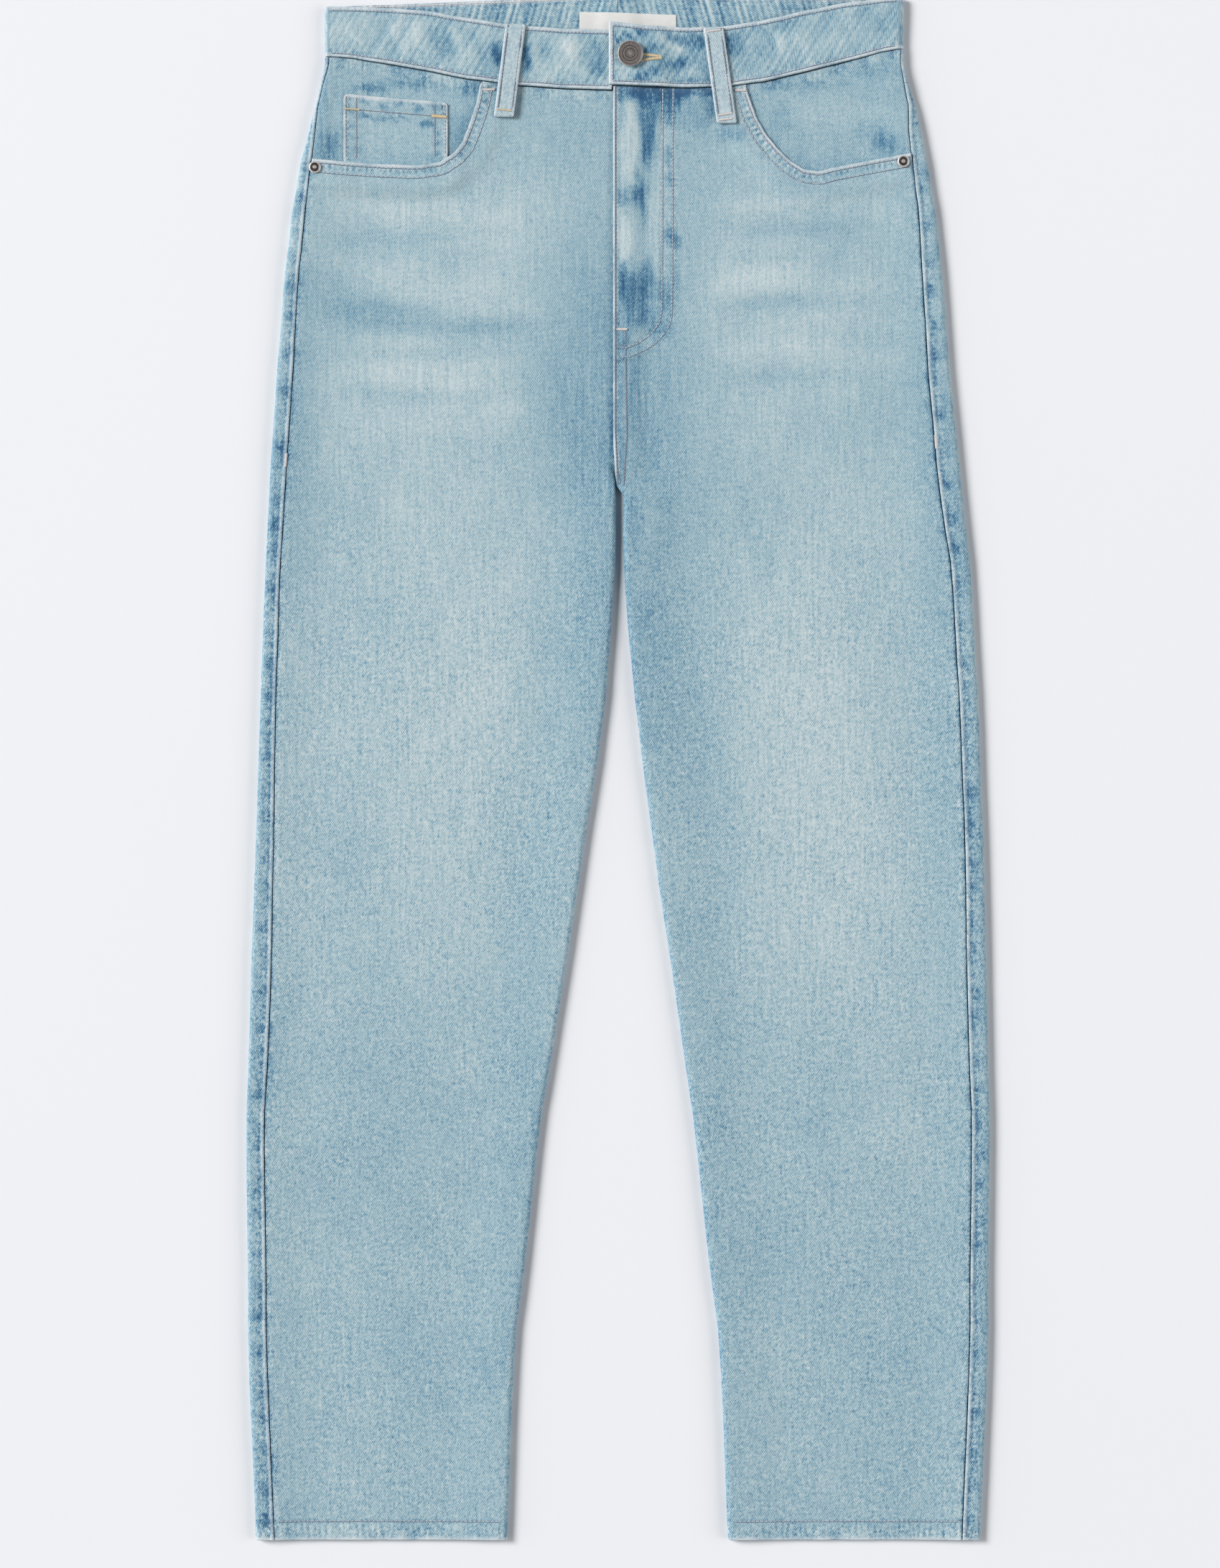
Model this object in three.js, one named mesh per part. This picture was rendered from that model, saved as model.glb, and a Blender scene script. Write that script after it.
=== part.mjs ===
// Barrel-leg jeans laid flat on their back, front side up.
// Millimetres. +X points to the wearer's left, +Y to the waist, +Z up from the surface they lie on.
// "down" is the distance below the highest edge of the waistband, and "out" the distance outwards
// from the centre line on either side of the garment.

import * as THREE from "three";

// Driving sizes
const LENGTH = 1023; // highest edge of the waistband to the hem
const CLOTH = 1.2; // one layer of denim
const BAND_CLOTH = 2.0; // the doubled waistband
const THIN_CLOTH = 0.8; // the pocket facing and the coin pocket, pressed flat
const HEM_CLOTH = 2.0; // the turned hem
const HEM_DEPTH = 15;
const SEAM_GAP = 0.3;
const SIDE_GAP = 0.5; // along the outseams
const WAIST_GAP = 0.6; // below the waistband
const FOLD_RADIUS = 3.1; // outside of the rounded fold along each leg
const BAND_FOLD_RADIUS = 3.25;
const FRONT_LEVEL = 3.1; // underside of the front layer, away from the folds
const FOLD_REACH = 42; // how far in from a fold the front layer takes to settle
const CROTCH = 329; // down, where the legs part
const HALF_TURN = Math.PI;

// The outline as it lies, and how far in from it the outseam shows on the front.
const OUTLINE = [
  { down: 0, rightOuter: 193.5, leftOuter: 188.0, rightInset: 3.0, leftInset: 1.5 },
  { down: 44, rightOuter: 193.8, leftOuter: 188.8, rightInset: 2.5, leftInset: 1.5 },
  { down: 60, rightOuter: 196.8, leftOuter: 192.6, rightInset: 1.2, leftInset: 2.8 },
  { down: 72, rightOuter: 199.7, leftOuter: 196.6, rightInset: 1.2, leftInset: 4.4 },
  { down: 89, rightOuter: 204.0, leftOuter: 200.6, rightInset: 3.6, leftInset: 8.0 },
  { down: 106, rightOuter: 208.8, leftOuter: 204.0, rightInset: 6.4, leftInset: 9.6 },
  { down: 139, rightOuter: 214.9, leftOuter: 209.7, rightInset: 8.2, leftInset: 10.9 },
  { down: 182, rightOuter: 220.2, leftOuter: 214.5, rightInset: 9.0, leftInset: 13.0 },
  { down: 246, rightOuter: 225.4, leftOuter: 219.7, rightInset: 10.4, leftInset: 14.4 },
  { down: 310, rightOuter: 229.8, leftOuter: 226.0, rightInset: 10.5, leftInset: 15.0 },
  { down: 374, rightOuter: 233.0, leftOuter: 233.0, rightInset: 9.6, leftInset: 12.8 },
  { down: 460, rightOuter: 236.3, leftOuter: 238.2, rightInset: 9.9, leftInset: 12.3 },
  { down: 545, rightOuter: 239.2, leftOuter: 241.5, rightInset: 11.5, leftInset: 12.0 },
  { down: 631, rightOuter: 242.5, leftOuter: 243.9, rightInset: 13.3, leftInset: 13.0 },
  { down: 738, rightOuter: 246.0, leftOuter: 246.2, rightInset: 12.0, leftInset: 12.0 },
  { down: 880, rightOuter: 245.0, leftOuter: 245.4, rightInset: 12.0, leftInset: 12.0 },
  { down: LENGTH, rightOuter: 239.5, leftOuter: 240.0, rightInset: 12.0, leftInset: 12.0 },
];

// The front panels' edge at the fly, and below the crotch the inner edge of each leg.
// Above the crotch the right front runs on under the left one.
const INNER_EDGE = [
  { down: 40, rightInner: -5.0, leftInner: -3.1 },
  { down: 286, rightInner: -5.0, leftInner: -3.1 },
  { down: 298, rightInner: -2.0, leftInner: -3.0 },
  { down: 307, rightInner: 1.2, leftInner: -2.4 },
  { down: 317, rightInner: 1.7, leftInner: 0.4 },
  { down: CROTCH, rightInner: 1.7, leftInner: 3.8 },
  { down: 353, rightInner: 1.4, leftInner: 3.3 },
  { down: 374, rightInner: 1.8, leftInner: 3.8 },
  { down: 396, rightInner: 3.1, leftInner: 5.0 },
  { down: 417, rightInner: 4.4, leftInner: 6.6 },
  { down: 460, rightInner: 7.6, leftInner: 10.7 },
  { down: 503, rightInner: 12.8, leftInner: 15.7 },
  { down: 545, rightInner: 19.6, leftInner: 21.3 },
  { down: 588, rightInner: 26.0, leftInner: 27.0 },
  { down: 631, rightInner: 32.4, leftInner: 33.6 },
  { down: 674, rightInner: 39.4, leftInner: 39.9 },
  { down: 738, rightInner: 50.2, leftInner: 49.2 },
  { down: 880, rightInner: 67.0, leftInner: 66.0 },
  { down: LENGTH, rightInner: 73.5, leftInner: 73.0 },
];

// The front waistband's top edge and its seam, which dip towards the middle.
const RIGHT_WAIST = [
  { out: 6, top: 23.5, seam: 63.0 },
  { out: 34, top: 22.8, seam: 62.2 },
  { out: 64, top: 20.9, seam: 60.2 },
  { out: 98, top: 15.9, seam: 56.0 },
  { out: 123, top: 11.4, seam: 51.0 },
  { out: 149, top: 9.3, seam: 46.4 },
  { out: 174, top: 8.4, seam: 42.4 },
  { out: 195, top: 8.0, seam: 41.0 },
];
const LEFT_WAIST = [
  { out: -6, top: 18.1, seam: 59.9 },
  { out: 16, top: 20.8, seam: 60.6 },
  { out: 43, top: 22.0, seam: 61.5 },
  { out: 68, top: 21.4, seam: 61.3 },
  { out: 94, top: 17.6, seam: 57.9 },
  { out: 120, top: 11.6, seam: 52.0 },
  { out: 146, top: 6.4, seam: 45.5 },
  { out: 173, top: 2.8, seam: 38.4 },
  { out: 190, top: 1.9, seam: 35.4 },
];
const BACK_BAND_HEIGHT = 40;
const YOKE_AT_SIDE = 58; // down, where the yoke seam meets the outseam
const YOKE_AT_CENTRE = 112;
const YOKE_REACH = 194; // out, from where the yoke seam runs level round the side

// The curved front pocket openings, from the waist seam to the outseam.
const RIGHT_SCOOP = [
  { out: 91.2, down: 59.5 },
  { out: 93.0, down: 69.2 },
  { out: 95.6, down: 78.0 },
  { out: 99.2, down: 88.5 },
  { out: 102.6, down: 97.3 },
  { out: 107.9, down: 104.4 },
  { out: 116.6, down: 110.5 },
  { out: 130.0, down: 113.0 },
  { out: 153.0, down: 112.6 },
  { out: 178.0, down: 111.1 },
  { out: 204.0, down: 108.6 },
];
const LEFT_SCOOP = [
  { out: 84.7, down: 61.3 },
  { out: 87.3, down: 69.3 },
  { out: 91.2, down: 80.3 },
  { out: 97.2, down: 91.3 },
  { out: 105.2, down: 101.3 },
  { out: 113.2, down: 109.3 },
  { out: 122.2, down: 115.3 },
  { out: 131.2, down: 117.1 },
  { out: 141.2, down: 114.8 },
  { out: 167.2, down: 109.8 },
  { out: 196.0, down: 104.8 },
];
const FACING_LAP = 9; // how far the facing and coin pocket run on under the front panel
const LIFT_FULL = FACING_LAP + 5; // the front panel lies on them this far from the opening
const LIFT_REACH = 12; // and comes down again within this
const CLEAR = 0.4; // between two layers that lie on each other

// Coin pocket corners on the right facing
const COIN = { outerOut: 181.5, innerOut: 112.5, outerTop: 65.8, innerTop: 71.4, margin: 5 };

// Fly: the left front laps over the right one.
const FLY_LAP = { full: 8, end: 19, level: 314, low: 327 };
const BAND_LAP = { full: 26, end: 37, start: -6, under: -22, underFrom: 3.6, underSeam: 59.4 };

// Pieces that lie under the back. What lies on them is lifted by their height.
const BACK_POCKET = { out: 104, down: 128, width: 144, length: 148, point: 16 };
const BACK_LOOP = { out: 168, width: 13, bottom: 60 };
const PATCH_THICK = 1.2;
const PATCH_MARGIN = 12;
const LOOP_SHOULDER = 8;

const FRONT_LOOPS = [
  { name: "belt_loop_front_right", x0: -67.7, down0: 20.0, x1: -75.3, down1: 81.4 },
  { name: "belt_loop_front_left", x0: 63.2, down0: 22.0, x1: 71.8, down1: 85.6 },
];
const LOOP_WIDTH = 13.3;
const LOOP_CLOTH = 1.8;
const LOOP_STEP = { from: 1.5, to: 5 }; // below the waist seam, where a loop comes down to the panel
const BUTTON = { x: 8.2, down: 39.9, radius: 8.5, height: 3.4 };
const RIVETS = [
  { name: "rivet_right", x: -200.3, down: 114.7 },
  { name: "rivet_left", x: 188.8, down: 110.8 },
];
const RIVET = { radius: 4.0, height: 1.5 };
const LABEL = { x0: -25.4, x1: 38.7, down: 11.0, slope: 2.0, height: 23, thick: 0.4 };

// Curves through a table

// A smooth function of rows[at] through rows[value], with the slopes of a Catmull-Rom curve.
function smooth(rows, at, value) {
  const x = rows.map((row) => row[at]);
  const y = rows.map((row) => row[value]);
  const last = x.length - 1;
  const slope = x.map((_, i) => {
    const before = Math.max(i - 1, 0);
    const after = Math.min(i + 1, last);
    return (y[after] - y[before]) / (x[after] - x[before]);
  });
  return (q) => {
    const p = THREE.MathUtils.clamp(q, x[0], x[last]);
    let i = 0;
    while (i < last - 1 && p > x[i + 1]) i += 1;
    const span = x[i + 1] - x[i];
    const t = (p - x[i]) / span;
    const bend = (y[i + 1] - y[i]) / span;
    const a = slope[i] - bend;
    const b = bend - slope[i + 1];
    return y[i] + span * t * (bend + (1 - t) * (a * (1 - t) - b * t));
  };
}

const mix = THREE.MathUtils.lerp;
const span = (from, to, count) => Array.from({ length: count }, (_, i) => mix(from, to, i / (count - 1)));
// 1 up to full, 0 from end on, and an even slope between
const ramp = (q, full, end) => THREE.MathUtils.clamp((end - q) / (end - full), 0, 1);
const softRamp = (q, full, end) => THREE.MathUtils.smoothstep(ramp(q, full, end), 0, 1);

// The two sides of the garment

function makeSide(name, sign, waist, scoop, rollFrom) {
  const side = {
    name,
    sign,
    rollFrom,
    outer: smooth(OUTLINE, "down", name + "Outer"),
    inset: smooth(OUTLINE, "down", name + "Inset"),
    inner: smooth(INNER_EDGE, "down", name + "Inner"),
    bandTop: smooth(waist, "out", "top"),
    waistSeam: smooth(waist, "out", "seam"),
    scoop: smooth(scoop, "out", "down"),
    scoopEnd: scoop[0].out,
    scoopSide: scoop[scoop.length - 1].out,
  };
  side.bandOuter = side.outer(30);
  side.bandFold = side.bandOuter - BAND_FOLD_RADIUS;
  side.seamAtFold = side.waistSeam(side.bandFold);
  side.scoopPoints = span(side.scoopEnd, side.scoopSide, 60).map((out) => [out, side.scoop(out)]);
  return side;
}
const RIGHT = makeSide("right", -1, RIGHT_WAIST, RIGHT_SCOOP, 306);
const LEFT = makeSide("left", 1, LEFT_WAIST, LEFT_SCOOP, 315);

const at = (side, out, down, z) => new THREE.Vector3(side.sign * out, LENGTH / 2 - down, z);

const distanceToScoop = (side, out, down) =>
  Math.min(...side.scoopPoints.map(([o, d]) => Math.hypot(out - o, down - d)));

// Heights

// 0 where a leg's inner edge lies flat at the fly, 1 where it is folded right under.
const roll = (side, down) => 1 - softRamp(down, side.rollFrom, 338);

// What the front panel has to rise over: the fly's under edge, the facing and the coin pocket.
function frontLift(side, out, down) {
  let lift = 0;
  if (side === LEFT) {
    const lap = CLOTH + CLEAR;
    lift += lap * ramp(out, FLY_LAP.full, FLY_LAP.end) * ramp(down, FLY_LAP.level, FLY_LAP.low);
  }
  if (out > side.scoopEnd - 2 * LIFT_REACH && down < YOKE_AT_CENTRE + 4 * LIFT_REACH) {
    const nearScoop = softRamp(distanceToScoop(side, out, down), LIFT_FULL, LIFT_FULL + LIFT_REACH);
    lift += (CLOTH + CLEAR) * nearScoop;
    if (side === RIGHT) {
      const middle = (COIN.outerOut + COIN.innerOut) / 2;
      const half = (COIN.outerOut - COIN.innerOut) / 2;
      const overCoin = softRamp(Math.abs(out - middle), half + COIN.margin, half + COIN.margin + LIFT_REACH);
      lift += (THIN_CLOTH + CLEAR) * nearScoop * overCoin;
    }
  }
  return lift;
}

// The front layer's outer face without what lies under it.
function restingTop(side, out, down) {
  const fromOuter = side.outer(down) - FOLD_RADIUS - out;
  const fromInner = out - side.inner(down) - FOLD_RADIUS;
  const outerRise = softRamp(fromOuter, 0, FOLD_REACH);
  const innerRise = roll(side, down) * softRamp(fromInner, 0, FOLD_REACH);
  return mix(FRONT_LEVEL + CLOTH, 2 * FOLD_RADIUS, Math.max(outerRise, innerRise));
}
const frontTop = (side, out, down) => restingTop(side, out, down) + frontLift(side, out, down);

// How far the back is lifted by the back pocket and the belt loops under it.
function backLift(out, down) {
  const pocketAcross = ramp(Math.abs(out - BACK_POCKET.out), BACK_POCKET.width / 2 + PATCH_MARGIN,
    BACK_POCKET.width / 2 + 2 * PATCH_MARGIN);
  const pocketMiddle = BACK_POCKET.down + BACK_POCKET.length / 2;
  const pocketAlong = ramp(Math.abs(down - pocketMiddle), BACK_POCKET.length / 2 + PATCH_MARGIN,
    BACK_POCKET.length / 2 + 2 * PATCH_MARGIN);
  const loopAcross = Math.max(...[0, BACK_LOOP.out].map((middle) =>
    ramp(Math.abs(out - middle), LOOP_SHOULDER, 2 * LOOP_SHOULDER)));
  const loopAlong = ramp(down, BACK_LOOP.bottom + 16, BACK_LOOP.bottom + 30);
  return (PATCH_THICK + SEAM_GAP) * Math.max(pocketAcross * pocketAlong, loopAcross * loopAlong);
}

// Sections: a closed path round the flattened garment

// The point "along" from the outermost point of the side fold: positive over the top towards the
// centre, negative round underneath. "depth" is measured into the wall.
function sectionPoint(side, down, along, depth, radius, top) {
  const quarter = (radius * HALF_TURN) / 2;
  const middle = side.outer(down) - radius;
  if (along > quarter) {
    const out = middle - (along - quarter);
    return at(side, out, down, top(out, down) - depth);
  }
  if (along < -quarter) {
    const out = middle - (-along - quarter);
    return at(side, out, down, backLift(out, down) + depth);
  }
  const turn = along / radius;
  const r = radius - depth;
  return at(side, middle + r * Math.cos(turn), down, radius + r * Math.sin(turn));
}

// How far along the section the outseam lies, from its inset on the front.
function seamAlong(side, down) {
  const inset = side.inset(down);
  if (inset >= FOLD_RADIUS) return (FOLD_RADIUS * HALF_TURN) / 2 + inset - FOLD_RADIUS;
  return FOLD_RADIUS * Math.acos(1 - inset / FOLD_RADIUS);
}
const alongOfOut = (side, down, out, radius) =>
  (radius * HALF_TURN) / 2 + side.outer(down) - radius - out;

// How far down a column that starts at "from" meets the edge that is given over "out".
function columnTop(from, outOf, edge) {
  let down = from;
  for (let k = 0; k < 12; k += 1) down = mix(down, edge(outOf(down)), 0.7);
  return down;
}

// A closed wall from two grids of points with equal rows and columns.
function wall(name, outerGrid, innerGrid, material) {
  const rows = outerGrid.length;
  const columns = outerGrid[0].length;
  const points = [...outerGrid.flat(), ...innerGrid.flat()];
  const half = rows * columns;
  const id = (i, j, layer) => layer * half + i * columns + j;
  const index = [];
  const quad = (a, b, c, d) => index.push(a, b, c, a, c, d);
  for (let i = 0; i < rows - 1; i += 1) {
    for (let j = 0; j < columns - 1; j += 1) {
      quad(id(i, j, 0), id(i + 1, j, 0), id(i + 1, j + 1, 0), id(i, j + 1, 0));
      quad(id(i, j, 1), id(i, j + 1, 1), id(i + 1, j + 1, 1), id(i + 1, j, 1));
    }
  }
  for (let i = 0; i < rows - 1; i += 1) {
    quad(id(i, 0, 0), id(i, 0, 1), id(i + 1, 0, 1), id(i + 1, 0, 0));
    quad(id(i, columns - 1, 0), id(i + 1, columns - 1, 0), id(i + 1, columns - 1, 1), id(i, columns - 1, 1));
  }
  for (let j = 0; j < columns - 1; j += 1) {
    quad(id(0, j, 0), id(0, j + 1, 0), id(0, j + 1, 1), id(0, j, 1));
    quad(id(rows - 1, j, 0), id(rows - 1, j, 1), id(rows - 1, j + 1, 1), id(rows - 1, j + 1, 0));
  }
  if (signedVolume(points, index) < 0) index.reverse();
  const geometry = new THREE.BufferGeometry().setFromPoints(points);
  geometry.setIndex(index);
  geometry.computeVertexNormals();
  return named(name, geometry, material);
}

function signedVolume(points, index) {
  let volume = 0;
  for (let k = 0; k < index.length; k += 3) {
    const [a, b, c] = [points[index[k]], points[index[k + 1]], points[index[k + 2]]];
    volume += a.dot(b.clone().cross(c)) / 6;
  }
  return volume;
}

function named(name, geometry, material) {
  const mesh = new THREE.Mesh(geometry, material);
  mesh.name = name;
  return mesh;
}

// Materials
const denim = new THREE.MeshStandardMaterial({ color: 0x9dc0d2, roughness: 0.9, metalness: 0 });
const metal = new THREE.MeshStandardMaterial({ color: 0x5d5b58, roughness: 0.45, metalness: 0.85 });
const labelCloth = new THREE.MeshStandardMaterial({ color: 0xf0efec, roughness: 0.85, metalness: 0 });

// Front panels

// Columns from the outseam to the inner end of the pocket opening, as shares of that way
const POCKET_SHARES = [0, 0.08, 0.19, 0.32, 0.45, 0.58, 0.69, 0.79, 0.86, 0.92, 0.96, 1];
const MIDDLE_COLUMNS = 7; // from there to the strip
const STRIP = FOLD_RADIUS * HALF_TURN; // the part that folds under at the inner edge
const STRIP_SHARES = [0.2, 0.4, 0.6, 0.8, 1];
const POCKET_ROW = 108; // down, about the foot of the pocket openings
const BLOCK_DOWN = 139; // below this the rows are level, and above it they close up to the panel's edge
const BLOCK_STEPS = 8;
const HEM_STEP = 2;
const HEM_ROWS = [LENGTH, LENGTH - HEM_DEPTH, LENGTH - HEM_DEPTH - HEM_STEP];
const LEG_ROWS = [960, 900, 840, 780, 720, 660, 600, 545, 495, 450, 410, 376, 352];
const FRONT_CROTCH_ROWS = [338, 332, 326, 321, 316, 311, 304, 290];
const FRONT_ROWS = [...HEM_ROWS, ...LEG_ROWS, ...FRONT_CROTCH_ROWS, 250, 212, 174, BLOCK_DOWN];
const hemOrCloth = (down) => (down > LENGTH - HEM_DEPTH - HEM_STEP / 2 ? HEM_CLOTH : CLOTH);

// The inner strip of a front panel, bent by its roll times a half turn.
function stripStart(side, down) {
  const turn = roll(side, down) * HALF_TURN;
  if (turn < 1e-6) return side.inner(down) + STRIP;
  const radius = stripRadius(side, down);
  return side.inner(down) + radius * (turn > HALF_TURN / 2 ? 1 : Math.sin(turn));
}
function stripRadius(side, down) {
  const turn = roll(side, down) * HALF_TURN;
  const top = frontTop(side, side.inner(down) + FOLD_RADIUS, down);
  const lowest = (CLOTH + CLEAR) * ramp(down, CROTCH - 1, CROTCH + 7) + CLOTH * Math.max(0, Math.cos(turn));
  return Math.min(STRIP / turn, (top - lowest) / (1 - Math.cos(turn)));
}
function stripPoint(side, down, share, depth) {
  const start = stripStart(side, down);
  const turn = roll(side, down) * HALF_TURN;
  if (turn < 1e-6) {
    const out = start - share * STRIP;
    return at(side, out, down, frontTop(side, out, down) - depth);
  }
  const radius = stripRadius(side, down);
  const angle = share * turn;
  const top = frontTop(side, start, down);
  const out = start - (radius - depth) * Math.sin(angle);
  return at(side, out, down, top - radius + (radius - depth) * Math.cos(angle));
}

// The panel's upper edge over "out": the waist seam, then the pocket opening.
const panelTop = (side, out) => (out < side.scoopEnd ? side.waistSeam(out) + WAIST_GAP : side.scoop(out));

function frontPanel(side) {
  const outEdge = (down) => side.outer(down) - side.inset(down) - SIDE_GAP;
  const outAt = (share, down) => mix(outEdge(down), stripStart(side, down), share);
  const pocketWay = outEdge(POCKET_ROW) - side.scoopEnd;
  const pocketEnd = pocketWay / (outEdge(POCKET_ROW) - stripStart(side, POCKET_ROW));
  const shares = [
    ...POCKET_SHARES.map((share) => share * pocketEnd),
    ...span(pocketEnd, 1, MIDDLE_COLUMNS + 1).slice(1),
  ];
  const edge = (out) => panelTop(side, out);
  const columns = [
    ...shares.map((share) => ({
      top: columnTop(BLOCK_DOWN, (down) => outAt(share, down), edge),
      point: (down, depth) => {
        const out = outAt(share, down);
        return at(side, out, down, frontTop(side, out, down) - depth);
      },
    })),
    ...STRIP_SHARES.map((share) => ({
      top: columnTop(BLOCK_DOWN, (down) => stripStart(side, down) - share * STRIP, edge),
      point: (down, depth) => stripPoint(side, down, share, depth),
    })),
  ];
  const rowsOf = (depthOf) => [
    ...FRONT_ROWS.map((down) => columns.map((c) => c.point(down, depthOf(down)))),
    ...span(0, 1, BLOCK_STEPS).slice(1).map((t) =>
      columns.map((c) => {
        const down = mix(BLOCK_DOWN, c.top, t);
        return c.point(down, depthOf(down));
      })),
  ];
  return wall("front_panel_" + side.name, rowsOf(() => 0), rowsOf(hemOrCloth), denim);
}

// Back panels and yokes

const FOLD_SHARES = [0, 0.2, 0.4, 0.6, 0.8, 1];
const UNDER_SHARES = [0.03, 0.08, 0.13, 0.18, 0.3, 0.5, 0.72, 0.8, 0.87, 0.93, 1];

const backInner = (side, down) => {
  if (down < CROTCH - 8) return SEAM_GAP / 2;
  const clear = side.inner(down) + FOLD_RADIUS + SEAM_GAP;
  return mix(clear, SEAM_GAP / 2, ramp(down, CROTCH - 8, CROTCH - 2));
};
// A line from the centre back to the side fold
const towardsFold = (side, out, atCentre, atFold) =>
  mix(atCentre, atFold, THREE.MathUtils.clamp(out / side.bandFold, 0, 1));
const backBandTop = (side, out) => towardsFold(side, out, 0, side.bandTop(side.bandFold));
const backSeam = (side, out) => towardsFold(side, out, BACK_BAND_HEIGHT, side.seamAtFold);
const yokeSeam = (out) => mix(YOKE_AT_CENTRE, YOKE_AT_SIDE, THREE.MathUtils.clamp(out / YOKE_REACH, 0, 1));

// A back piece's columns: from the outseam, round the side fold and along the underside, where
// underOuts gives each column's place at a height.
function backColumns(side, underOuts) {
  const quarter = (FOLD_RADIUS * HALF_TURN) / 2;
  const top = (out, down) => restingTop(side, out, down);
  const folded = FOLD_SHARES.map((share) => ({
    outOf: () => side.outer(YOKE_AT_SIDE),
    point: (down, depth) =>
      sectionPoint(side, down, mix(seamAlong(side, down), -quarter, share), depth, FOLD_RADIUS, top),
  }));
  const under = underOuts.map((outOf) => ({
    outOf,
    point: (down, depth) =>
      sectionPoint(side, down, -alongOfOut(side, down, outOf(down), FOLD_RADIUS), depth, FOLD_RADIUS, top),
  }));
  return [...folded, ...under];
}

// Places across the back of the waist, with the edges of what the loops lift
const BACK_OUTS = [
  BACK_LOOP.out + 2 * LOOP_SHOULDER, BACK_LOOP.out + LOOP_SHOULDER, BACK_LOOP.out - LOOP_SHOULDER,
  BACK_LOOP.out - 2 * LOOP_SHOULDER, 120, 80, 40, 2 * LOOP_SHOULDER, LOOP_SHOULDER, SEAM_GAP / 2,
];
const BACK_BLOCK_DOWN = 150;
const BACK_BLOCK_STEPS = 9;
const BACK_CROTCH_ROWS = [338, 332, 327, 321, 311, 300, 288, 276];
const BACK_ROWS = [...HEM_ROWS, ...LEG_ROWS, ...BACK_CROTCH_ROWS, 250, 212, 174, BACK_BLOCK_DOWN];

function backPanel(side) {
  const columns = backColumns(side, UNDER_SHARES.map((share) => (down) =>
    mix(side.outer(down) - FOLD_RADIUS, backInner(side, down), share)));
  const topOf = (c) => columnTop(BACK_BLOCK_DOWN, c.outOf, (out) => yokeSeam(out) + SEAM_GAP / 2);
  const rowsOf = (depthOf) => [
    ...BACK_ROWS.map((down) => columns.map((c) => c.point(down, depthOf(down)))),
    ...span(0, 1, BACK_BLOCK_STEPS).slice(1).map((t) =>
      columns.map((c) => {
        const down = mix(BACK_BLOCK_DOWN, topOf(c), t);
        return c.point(down, depthOf(down));
      })),
  ];
  return wall("back_panel_" + side.name, rowsOf(() => 0), rowsOf(hemOrCloth), denim);
}

function yoke(side) {
  const columns = backColumns(side, BACK_OUTS.map((out) => () => out));
  const bottomOf = (c) => yokeSeam(c.outOf()) - SEAM_GAP / 2;
  const topOf = (c) => backSeam(side, c.outOf()) + SEAM_GAP;
  const rowsOf = (depth) =>
    span(0, 1, 6).map((t) => columns.map((c) => c.point(mix(bottomOf(c), topOf(c), t), depth)));
  return wall("yoke_" + side.name, rowsOf(0), rowsOf(CLOTH), denim);
}

// Waistband halves: each runs from the front fastening, round the side fold, to the centre back.

const BAND_TOP = 2 * BAND_FOLD_RADIUS;
const BAND_LAP_HEIGHT = BAND_CLOTH + CLEAR;
const bandTopZ = (side, out) =>
  BAND_TOP + (side === LEFT ? BAND_LAP_HEIGHT * ramp(out, BAND_LAP.full, BAND_LAP.end) : 0);

function waistband(side) {
  const foldOut = side.bandFold;
  const frontOuts = side === LEFT
    ? [BAND_LAP.start, 16, BAND_LAP.full, BAND_LAP.end, 54, 72, 94, 115, 135, 155, 172, foldOut]
    : [BAND_LAP.under, BAND_LAP.underFrom, -BAND_LAP.start, 34, 58, 80, 98, 115, 132, 149, 170, foldOut];
  const quarter = (BAND_FOLD_RADIUS * HALF_TURN) / 2;
  const straight = { ...side, outer: () => side.bandOuter };
  const frontEdges = (out) => {
    const isUnder = side === RIGHT && out <= BAND_LAP.underFrom;
    return [side.bandTop(out), isUnder ? BAND_LAP.underSeam : side.waistSeam(out)];
  };
  const backEdges = (out) => [backBandTop(side, out), backSeam(side, out) - SEAM_GAP / 2];
  const columns = [
    ...frontOuts.map((out) => ({
      edges: frontEdges(out),
      point: (down, depth) => at(side, out, down, bandTopZ(side, out) - depth),
    })),
    ...[0.5, 0, -0.5].map((share) => ({
      edges: frontEdges(foldOut),
      point: (down, depth) => sectionPoint(straight, down, share * quarter, depth, BAND_FOLD_RADIUS),
    })),
    ...[foldOut, ...BACK_OUTS].map((out) => ({
      edges: backEdges(out),
      point: (down, depth) => at(side, out, down, backLift(out, down) + depth),
    })),
  ];
  const rowsOf = (depth) =>
    [0, 0.5, 1].map((t) => columns.map((c) => c.point(mix(c.edges[0], c.edges[1], t), depth)));
  return wall("waistband_" + side.name, rowsOf(0), rowsOf(BAND_CLOTH), denim);
}

// Pocket facings: the cloth that shows inside each curved opening.

const FACING_ROWS = [0, 0.05, 0.1, 0.16, 0.26, 0.4, 0.6, 0.8, 1];

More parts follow.
